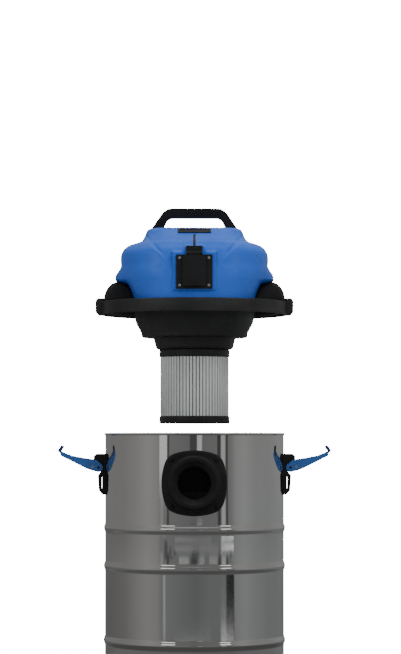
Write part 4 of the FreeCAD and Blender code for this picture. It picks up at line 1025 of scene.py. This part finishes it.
SOCKET_HOLE_R, PORT_HOLE_R, CABLE_HOLE_R, CABLE_UP = 0.02105, 0.02205, 0.00605, 82
cut(cover, [front_bar("cutter", 2.4, -25), rod(SOCKET_HOLE_R, -0.12, -0.18, SOCKET),
            on_slope("cutter", 0.0288, 0.006, 0.008, 0.006),
            rod(PORT_HOLE_R, 0.135, 0.18, up(PORT_UP)),
            rod(CABLE_HOLE_R, 0.125, 0.175, up(CABLE_UP))])
shade(cover, 34)
dress(cover, blue, "head", "blue_plastic", "motor_cover")
# painted shade: a black strip fills the groove down the front and stands in for the groove's
# shadow
dress(front_bar("switch_strip", 2.4, 0.3), black, "head", "black_plastic")

# %% [markdown]
# ## The carry handle
#
# The handle is a bent bar with soft edges. Its grip has fine ribs, so that it doesn't slip in
# a wet hand. The ribs repeat, so a node tree makes them: one rounded ring, copied along a line.

# %% The handle's bar
DECK = low("carry_handle").z
TOP = high("carry_handle").z


def build_handle():
    outline = [(82, 0), (54, 41.4), (-54, 41.4), (-82, 0), (-60, 0), (-49, 24), (49, 24), (60, 0)]
    corners = [1.5, 15, 15, 1.5, 1.5, 9, 9, 1.5]
    scaled = [(x * MM, DECK + z / 42 * (TOP - DECK)) for x, z in outline]
    shape = rounded(scaled, [c * MM for c in corners], 7)
    return block("handle_bar", shape, -0.013, 0.013, round_by=0.0058, segments=6, crease=50)


def rib_tree():
    tree, new, link, into = start_tree(
        "ribs_on_a_grip", "Grip",
        (("Ribs", "Int"), ("Length", "Float"), ("Width", "Float"), ("Height", "Float"),
         ("Corner", "Float"), ("Thickness", "Float")))
    line = new("GeometryNodeMeshLine")
    line.mode = "END_POINTS"
    link(into["Ribs"], line.inputs["Count"])
    for share, label in ((-0.5, "Start Location"), (0.5, "Offset")):
        end = math_node(tree, "MULTIPLY", into["Length"], share)
        link(combine(tree, end, None, None), line.inputs[label])
    ring = new("GeometryNodeCurvePrimitiveQuadrilateral")
    link(into["Height"], ring.inputs["Width"])
    link(into["Width"], ring.inputs["Height"])
    soft = new("GeometryNodeFilletCurve")
    soft.mode = "POLY"
    soft.inputs["Count"].default_value = 5
    link(ring.outputs["Curve"], soft.inputs["Curve"])
    link(into["Corner"], soft.inputs["Radius"])
    disc = new("GeometryNodeFillCurve")
    disc.mode = "NGONS"
    link(soft.outputs["Curve"], disc.inputs["Curve"])
    thick = new("GeometryNodeExtrudeMesh")
    link(disc.outputs["Mesh"], thick.inputs["Mesh"])
    link(into["Thickness"], thick.inputs["Offset Scale"])
    both = new("GeometryNodeJoinGeometry")
    back = new("GeometryNodeFlipFaces")
    link(disc.outputs["Mesh"], back.inputs["Mesh"])
    link(back.outputs["Mesh"], both.inputs["Geometry"])
    link(thick.outputs["Mesh"], both.inputs["Geometry"])
    return copy_onto(tree, into, line.outputs["Mesh"], both.outputs["Geometry"],
                     (0, math.radians(90), 0))


def build_ribs():
    ribs = grow(new_piece("handle_ribs", [], []), rib_tree(), Ribs=22, Length=0.096,
                Width=0.0272, Height=0.0180, Corner=0.0062, Thickness=0.0018, Material=black)
    ribs.data.transform(Matrix.Translation((-0.0009, 0, TOP - 0.0091)))
    return clean(ribs, 40, weld=1e-5)


handle = join("carry_bar", [build_handle(), build_ribs()])
shade(handle, 45)
dress(handle, black, "head", "black_plastic", "carry_handle")

# %% [markdown]
# ## The filter
#
# The filter is paper folded into pleats round a plastic core, glued into a cap at each end.
# Pleats repeat round a circle, so a node tree makes them: one thin wedge, copied round. A
# small random turn, with a fixed seed, keeps the folds from looking machined.

# %% The pleats
def pleat_tree():
    tree, new, link, into = start_tree(
        "pleats_round_a_core", "Paper",
        (("Pleats", "Int"), ("Inner Radius", "Float"), ("Depth", "Float"), ("Root", "Float"),
         ("Height", "Float"), ("Unevenness", "Float")))

    def calc(operation, a, b):
        return math_node(tree, operation, a, b)

    fold = new("GeometryNodeMeshCube")
    fold.inputs["Vertices X"].default_value = 6
    fold.inputs["Vertices Y"].default_value = 3
    link(combine(tree, into["Depth"], into["Root"], into["Height"]), fold.inputs["Size"])
    split = new("ShaderNodeSeparateXYZ")
    link(new("GeometryNodeInputPosition").outputs[0], split.inputs[0])
    x, y, z = split.outputs
    # the fold gets thinner outwards
    along = calc("ADD", calc("DIVIDE", x, into["Depth"]), 0.5)
    tip = calc("POWER", calc("SUBTRACT", 1.0, along), 0.75)
    taper = calc("ADD", calc("MULTIPLY", tip, 0.2), 0.8)
    shape = new("GeometryNodeSetPosition")
    link(fold.outputs["Mesh"], shape.inputs["Geometry"])
    link(combine(tree, x, calc("MULTIPLY", y, taper), z), shape.inputs["Position"])
    ring = new("GeometryNodeMeshCircle")
    link(into["Pleats"], ring.inputs["Vertices"])
    link(calc("ADD", into["Inner Radius"], calc("MULTIPLY", into["Depth"], 0.5)),
         ring.inputs["Radius"])
    share = calc("DIVIDE", new("GeometryNodeInputIndex").outputs[0], into["Pleats"])
    uneven = new("FunctionNodeRandomValue")
    uneven.data_type = "FLOAT"
    uneven.inputs["Seed"].default_value = 7
    lowest = next(s for s in uneven.inputs if s.type == "VALUE" and s.name == "Min")
    lowest.default_value = -1.0
    jitter = calc("MULTIPLY", next(s for s in uneven.outputs if s.type == "VALUE"),
                  into["Unevenness"])
    turn = calc("ADD", calc("MULTIPLY", share, 2 * math.pi), jitter)
    return copy_onto(tree, into, ring.outputs["Mesh"], shape.outputs["Geometry"],
                     combine(tree, None, None, turn))


def build_pleats():
    bottom, top = low("filter_media").z, high("filter_media").z
    pleats = grow(new_piece("pleats", [], []), pleat_tree(), Pleats=64, Inner_Radius=0.0465,
                  Depth=0.0168, Root=0.0054, Height=top - bottom, Unevenness=0.035,
                  Material=paper)
    pleats.data.transform(Matrix.Translation((0, 0, (bottom + top) / 2)))
    backing = lathe("backing", [(0.045, bottom), (0.0488, bottom), (0.0488, top), (0.045, top)],
                    steps=144)
    return join("pleated_paper", [pleats, backing])


media = build_pleats()
shade(media, 50)
dress(media, paper, "filter", "filter_paper", "filter_media")


# %% The filter's end caps
def cap(name, inner, soft=0.0022):
    bottom, top = low(name).z, high(name).z
    radius = high(name).x
    corners = [(inner, bottom), (radius, bottom), (radius, top), (inner, top)]
    outline = rounded(corners, [0.0003 if inner else 0.0, soft, soft, 0.0003 if inner else 0.0])
    return lathe(name.replace("filter", "paper"), outline, steps=128, crease=40)


top_cap = cap("filter_top_cap", 0.0391)
dress(top_cap, tray_black, "filter", "black_plastic", "filter_top_cap")
bottom_cap = cap("filter_bottom_cap", 0.0)
dress(bottom_cap, tray_black, "filter", "black_plastic", "filter_bottom_cap")
bpy.data.objects.remove(head_shape)

# %% [markdown]
# ## Finishes for the pieces that keep their CAD shape
#
# Small pressed and turned pieces, and everything inside the head, already have the right
# shape. They keep it and only get a material, whose soft-edge normal rounds them to the eye.

# %% Finishes by piece
finishes = {
    steel: ("drum_bottom", "latch_rivets"),
    black: ("caster_base", "socket_plate", "socket_insert", "cable_gland", "inlet_deflector",
            "latch_bracket_left", "latch_bracket_right", "lever_pins",
            "float_cage", "fan_housing", "motor_bracket", "brush_holders", "carry_handle",
            "inlet_housing", "head_base"),
    black_gloss: ("socket_flap", "switch_bezel", "power_switch"),
    lever_blue: ("latch_lever_left", "latch_lever_right", "motor_cover"),
    navy: ("latch_hook_left", "latch_hook_right"),
    gasket: ("head_seal", "inlet_gasket", "motor_gasket"),
    plated: ("base_screws", "inlet_screws", "hook_pin_left", "hook_pin_right",
             "cover_screws", "handle_screws", "flap_pin", "socket_screws"),
    cast: ("impeller",),
    motor_steel: ("motor_stator", "armature", "motor_bearings"),
    copper: ("commutator", "socket_contacts"),
    core_white: ("filter_core",),
    ball_orange: ("float_ball",),
    paper: ("filter_media",),
}
corners = ("front_left", "front_right", "rear_right", "rear_left")
finishes[plated] += tuple("caster_fork_" + c for c in corners)
finishes[plated] += tuple("caster_axle_" + c for c in corners)
finishes[tyre] = tuple("caster_wheel_" + c for c in corners)
finish_of = {name: material for material, names in finishes.items() for name in names}
for name, node in nodes.items():
    material = finish_of.get(name, black)
    node.data.materials.clear()
    node.data.materials.append(material)
print("plain finish left on:", sorted(n for n in nodes if n not in finish_of))

# %% [markdown]
# ## Stage, light and camera
#
# The light is soft and even, as in a catalogue. A polished drum shows the room round it, so a
# dim round wall and a ring of cards stand about the vacuum, over a few grey discs. Only
# reflections can see them. The camera stands well back with a long lens, a little under the
# rim's height, so lines stay straight.

# %% Floor and room light
def stage_material(name, colour, strength):
    material = bpy.data.materials.new(name)
    material.use_nodes = True
    tree = material.node_tree
    tree.nodes.clear()
    glow, out = tree.nodes.new("ShaderNodeEmission"), tree.nodes.new("ShaderNodeOutputMaterial")
    glow.inputs["Color"].default_value = (*colour, 1)
    glow.inputs["Strength"].default_value = strength
    tree.links.new(glow.outputs[0], out.inputs["Surface"])
    return material


def disc(name, radius, z, steps):
    edge = [(radius * math.cos(2 * math.pi * k / steps),
             radius * math.sin(2 * math.pi * k / steps), z) for k in range(steps)]
    return new_piece(name, edge, [tuple(range(steps))])


def build_floor():
    floor = disc("floor", 1.4, 0, 96)
    pale, tree, shader = start_material("pale_floor", Roughness=0.6)
    speckle = noise(tree, place(tree), 40.0, 4.0)
    tree.links.new(layer(tree, speckle, (0.80, 0.80, 0.79), (0.84, 0.84, 0.83)),
                   shader.inputs["Base Color"])
    floor.data.materials.append(pale)
    floor.visible_glossy = floor.visible_camera = False
    return floor


def build_world():
    world = bpy.data.worlds.new("white_room")
    bpy.context.scene.world = world
    world.use_nodes = True
    tree = world.node_tree
    tree.nodes.clear()
    seen, lit = tree.nodes.new("ShaderNodeBackground"), tree.nodes.new("ShaderNodeBackground")
    seen.inputs["Color"].default_value = (1.0, 1.0, 1.0, 1)
    seen.inputs["Strength"].default_value = 18.0
    lit.inputs["Color"].default_value = (0.93, 0.96, 1.0, 1)
    lit.inputs["Strength"].default_value = 0.48
    path, mix = tree.nodes.new("ShaderNodeLightPath"), tree.nodes.new("ShaderNodeMixShader")
    out = tree.nodes.new("ShaderNodeOutputWorld")
    tree.links.new(path.outputs["Is Camera Ray"], mix.inputs[0])
    tree.links.new(lit.outputs[0], mix.inputs[1])
    tree.links.new(seen.outputs[0], mix.inputs[2])
    tree.links.new(mix.outputs[0], out.inputs["Surface"])


build_floor()
build_world()
print("view transform", bpy.context.scene.view_settings.view_transform)

# %% Soft lights
def softbox(name, place_at, look_at, size, power, colour=(1, 1, 1)):
    lamp = bpy.data.lights.new(name, "AREA")
    lamp.shape, lamp.size, lamp.size_y = "RECTANGLE", size[0], size[1]
    lamp.energy, lamp.color = power, colour
    light = bpy.data.objects.new(name, lamp)
    bpy.context.scene.collection.objects.link(light)
    light.location = place_at
    light.visible_glossy = False
    light.rotation_euler = (Vector(look_at) - Vector(place_at)).to_track_quat("-Z", "Y").to_euler()
    return light


softbox("key", (1.3, -1.9, 2.5), (0, 0, 0.75), (1.4, 1.0), 42)
softbox("fill", (-1.7, -1.9, 1.7), (0, 0, 0.6), (1.4, 1.2), 17)
softbox("top", (0, 0.2, 2.7), (0, 0, 0.7), (1.6, 1.6), 31)
softbox("rear", (0.4, 2.2, 1.9), (0, 0, 0.7), (1.6, 1.0), 24)

# %% Cards that only reflections see
CARD_RING, ROOM_RING = 2.9, 3.0
# direction in degrees, how bright the wall is low down, and how bright at the rim's height
WALLS = [(-180, 0.12, 0.20), (-127, 0.16, 0.256), (-100, 0.194, 0.262), (-79, 0.26, 0.30),
         (-61, 0.314, 0.366), (-46, 0.29, 0.32), (-42, 0.235, 0.24), (-28, 0.22, 0.22),
         (-13, 0.198, 0.20), (2, 0.177, 0.19), (17, 0.205, 0.21), (32, 0.213, 0.215),
         (46, 0.22, 0.23), (53, 0.30, 0.34), (65, 0.34, 0.385), (83, 0.296, 0.33),
         (105, 0.255, 0.32), (136, 0.238, 0.35), (180, 0.12, 0.20)]


def only_reflected(piece, material):
    piece.data.materials.append(material)
    piece.visible_camera = piece.visible_diffuse = piece.visible_shadow = False
    piece.visible_transmission = False
    return piece


def wall_value(angle, z):
    for (a, *low_high), (b, *next_pair) in zip(WALLS, WALLS[1:]):
        if a <= angle <= b:
            f = (angle - a) / (b - a)
            dim, bright = (p + (q - p) * f for p, q in zip(low_high, next_pair))
            return dim + (bright - dim) * step(0.0, 0.34, z)


def build_room(columns=120, heights=(-1.2, 0.0, 0.12, 0.22, 0.34, 0.7, 1.6, 2.4)):
    """A round wall whose brightness is stored at its points."""
    points, faces, glow = [], [], []
    for z in heights:
        for k in range(columns):
            angle = -180 + 360 * k / columns
            a = math.radians(angle)
            points.append((ROOM_RING * math.sin(a), -ROOM_RING * math.cos(a), z))
            v = wall_value(angle, z)
            cool = step(-55, -20, angle) * (1 - step(0.3, 0.5, z))
            glow.append((v * (1.01 - 0.05 * cool), v, v * (0.97 + 0.03 * cool), 1.0))
    for i in range(len(heights) - 1):
        for k in range(columns):
            m = (k + 1) % columns
            faces.append((i * columns + k, i * columns + m, (i + 1) * columns + m,
                          (i + 1) * columns + k))
    room = new_piece("room_wall", points, faces)
    stored = room.data.attributes.new("glow", "FLOAT_COLOR", "POINT")
    for item, colour in zip(stored.data, glow):
        item.color = colour
    material = stage_material("room_glow", (1, 1, 1), 1.0)
    tree = material.node_tree
    read = tree.nodes.new("ShaderNodeAttribute")
    read.attribute_name = "glow"
    shine = next(n for n in tree.nodes if n.type == "EMISSION")
    tree.links.new(read.outputs["Color"], shine.inputs["Color"])
    return only_reflected(room, material)


def card(name, left, right, bottom, top, strength, steps=8):
    points, faces = [], []
    for k in range(steps + 1):
        a = math.radians(left + (right - left) * k / steps)
        for z in (bottom, top):
            points.append((CARD_RING * math.sin(a), -CARD_RING * math.cos(a), z))
    for k in range(steps):
        faces.append((2 * k, 2 * k + 1, 2 * k + 3, 2 * k + 2))
    return only_reflected(new_piece(name, points, faces),
                          stage_material(name, (1, 1, 1), strength))


build_room()
# the floor near the vacuum is darker in its reflection, and lighter further out
for count, (size, glow) in enumerate(((0.45, 0.10), (0.62, 0.125), (0.8, 0.15), (0.95, 0.175),
                                      (1.1, 0.20))):
    only_reflected(disc(f"ground_{count}", size, 0.006 - 0.001 * count, 48),
                   stage_material(f"ground_{count}", (1, 1, 1), glow))
cards = [("pane_left", -44, -34, 0.452, 0.60, 0.80), ("post_left", -34, -31, 0.20, 0.60, 0.10),
         ("blind", -42.5, -38.6, 0.20, 0.44, 0.34), ("door", -6, 3, 0.42, 0.60, 0.09),
         ("pane_mid", 3, 9, 0.42, 0.60, 0.62), ("post_right", 29, 33, 0.22, 0.60, 0.07),
         ("pane_right", 34, 39, 0.22, 0.60, 0.50), ("post_far", 40, 42.5, 0.22, 0.60, 0.08),
         ("shelf_a", -19, -7, 0.235, 0.30, 0.42), ("shelf_b", -4.3, 3.1, 0.235, 0.30, 0.07),
         ("shelf_c", 6, 12, 0.235, 0.30, 0.40), ("shelf_d", 18, 29, 0.235, 0.30, 0.42),
         ("chair_a", -3.1, 5.6, 0.172, 0.218, 0.045), ("chair_b", -25, -22, 0.184, 0.21, 0.06),
         ("leg_a", 34, 38, 0.176, 0.215, 0.05), ("leg_b", 44, 47.5, 0.18, 0.22, 0.05),
         ("lamp_low", 33.3, 50, 0.135, 0.178, 1.1), ("counter", -24, 30, 0.14, 0.19, 0.30),
         ("skirting", -24, 20, 0.078, 0.102, 0.36), ("lamp_floor", 33.3, 50, 0.060, 0.098, 1.1),
         ("post_dark", 40, 50.6, -0.50, 0.064, 0.035), ("line_left", -38.8, -36, -0.1, 0.06, 0.42),
         ("books_a", -37, -33, 0.10, 0.25, 0.12), ("books_b", -31, -28, 0.15, 0.22, 0.14),
         ("books_c", -36, -26, 0.23, 0.25, 0.10), ("lamp_up_left", -43, -25, 1.2, 1.8, 1.6),
         ("lamp_up_right", 34, 48, 1.2, 1.8, 1.8)]
for item in cards:
    card(*item)

# %% Camera
# metres at the vacuum for one row of a picture this many rows high
SCALE, ROWS = 1.854 * MM, 654
DISTANCE, EYE_UP = 4.5, 0.50
AIM = Vector((0.0111, 0, 0.706))
camera_data = bpy.data.cameras.new("camera")
camera = bpy.data.objects.new("camera", camera_data)
bpy.context.scene.collection.objects.link(camera)
bpy.context.scene.camera = camera
camera.location = (AIM.x, -DISTANCE, EYE_UP)
sight = AIM - camera.location
camera.rotation_euler = sight.to_track_quat("-Z", "Y").to_euler()
camera_data.sensor_width = 36
camera_data.lens = 36 * sight.length / (ROWS * SCALE)
camera_data.clip_end = 60
print("lens", round(camera_data.lens, 1))
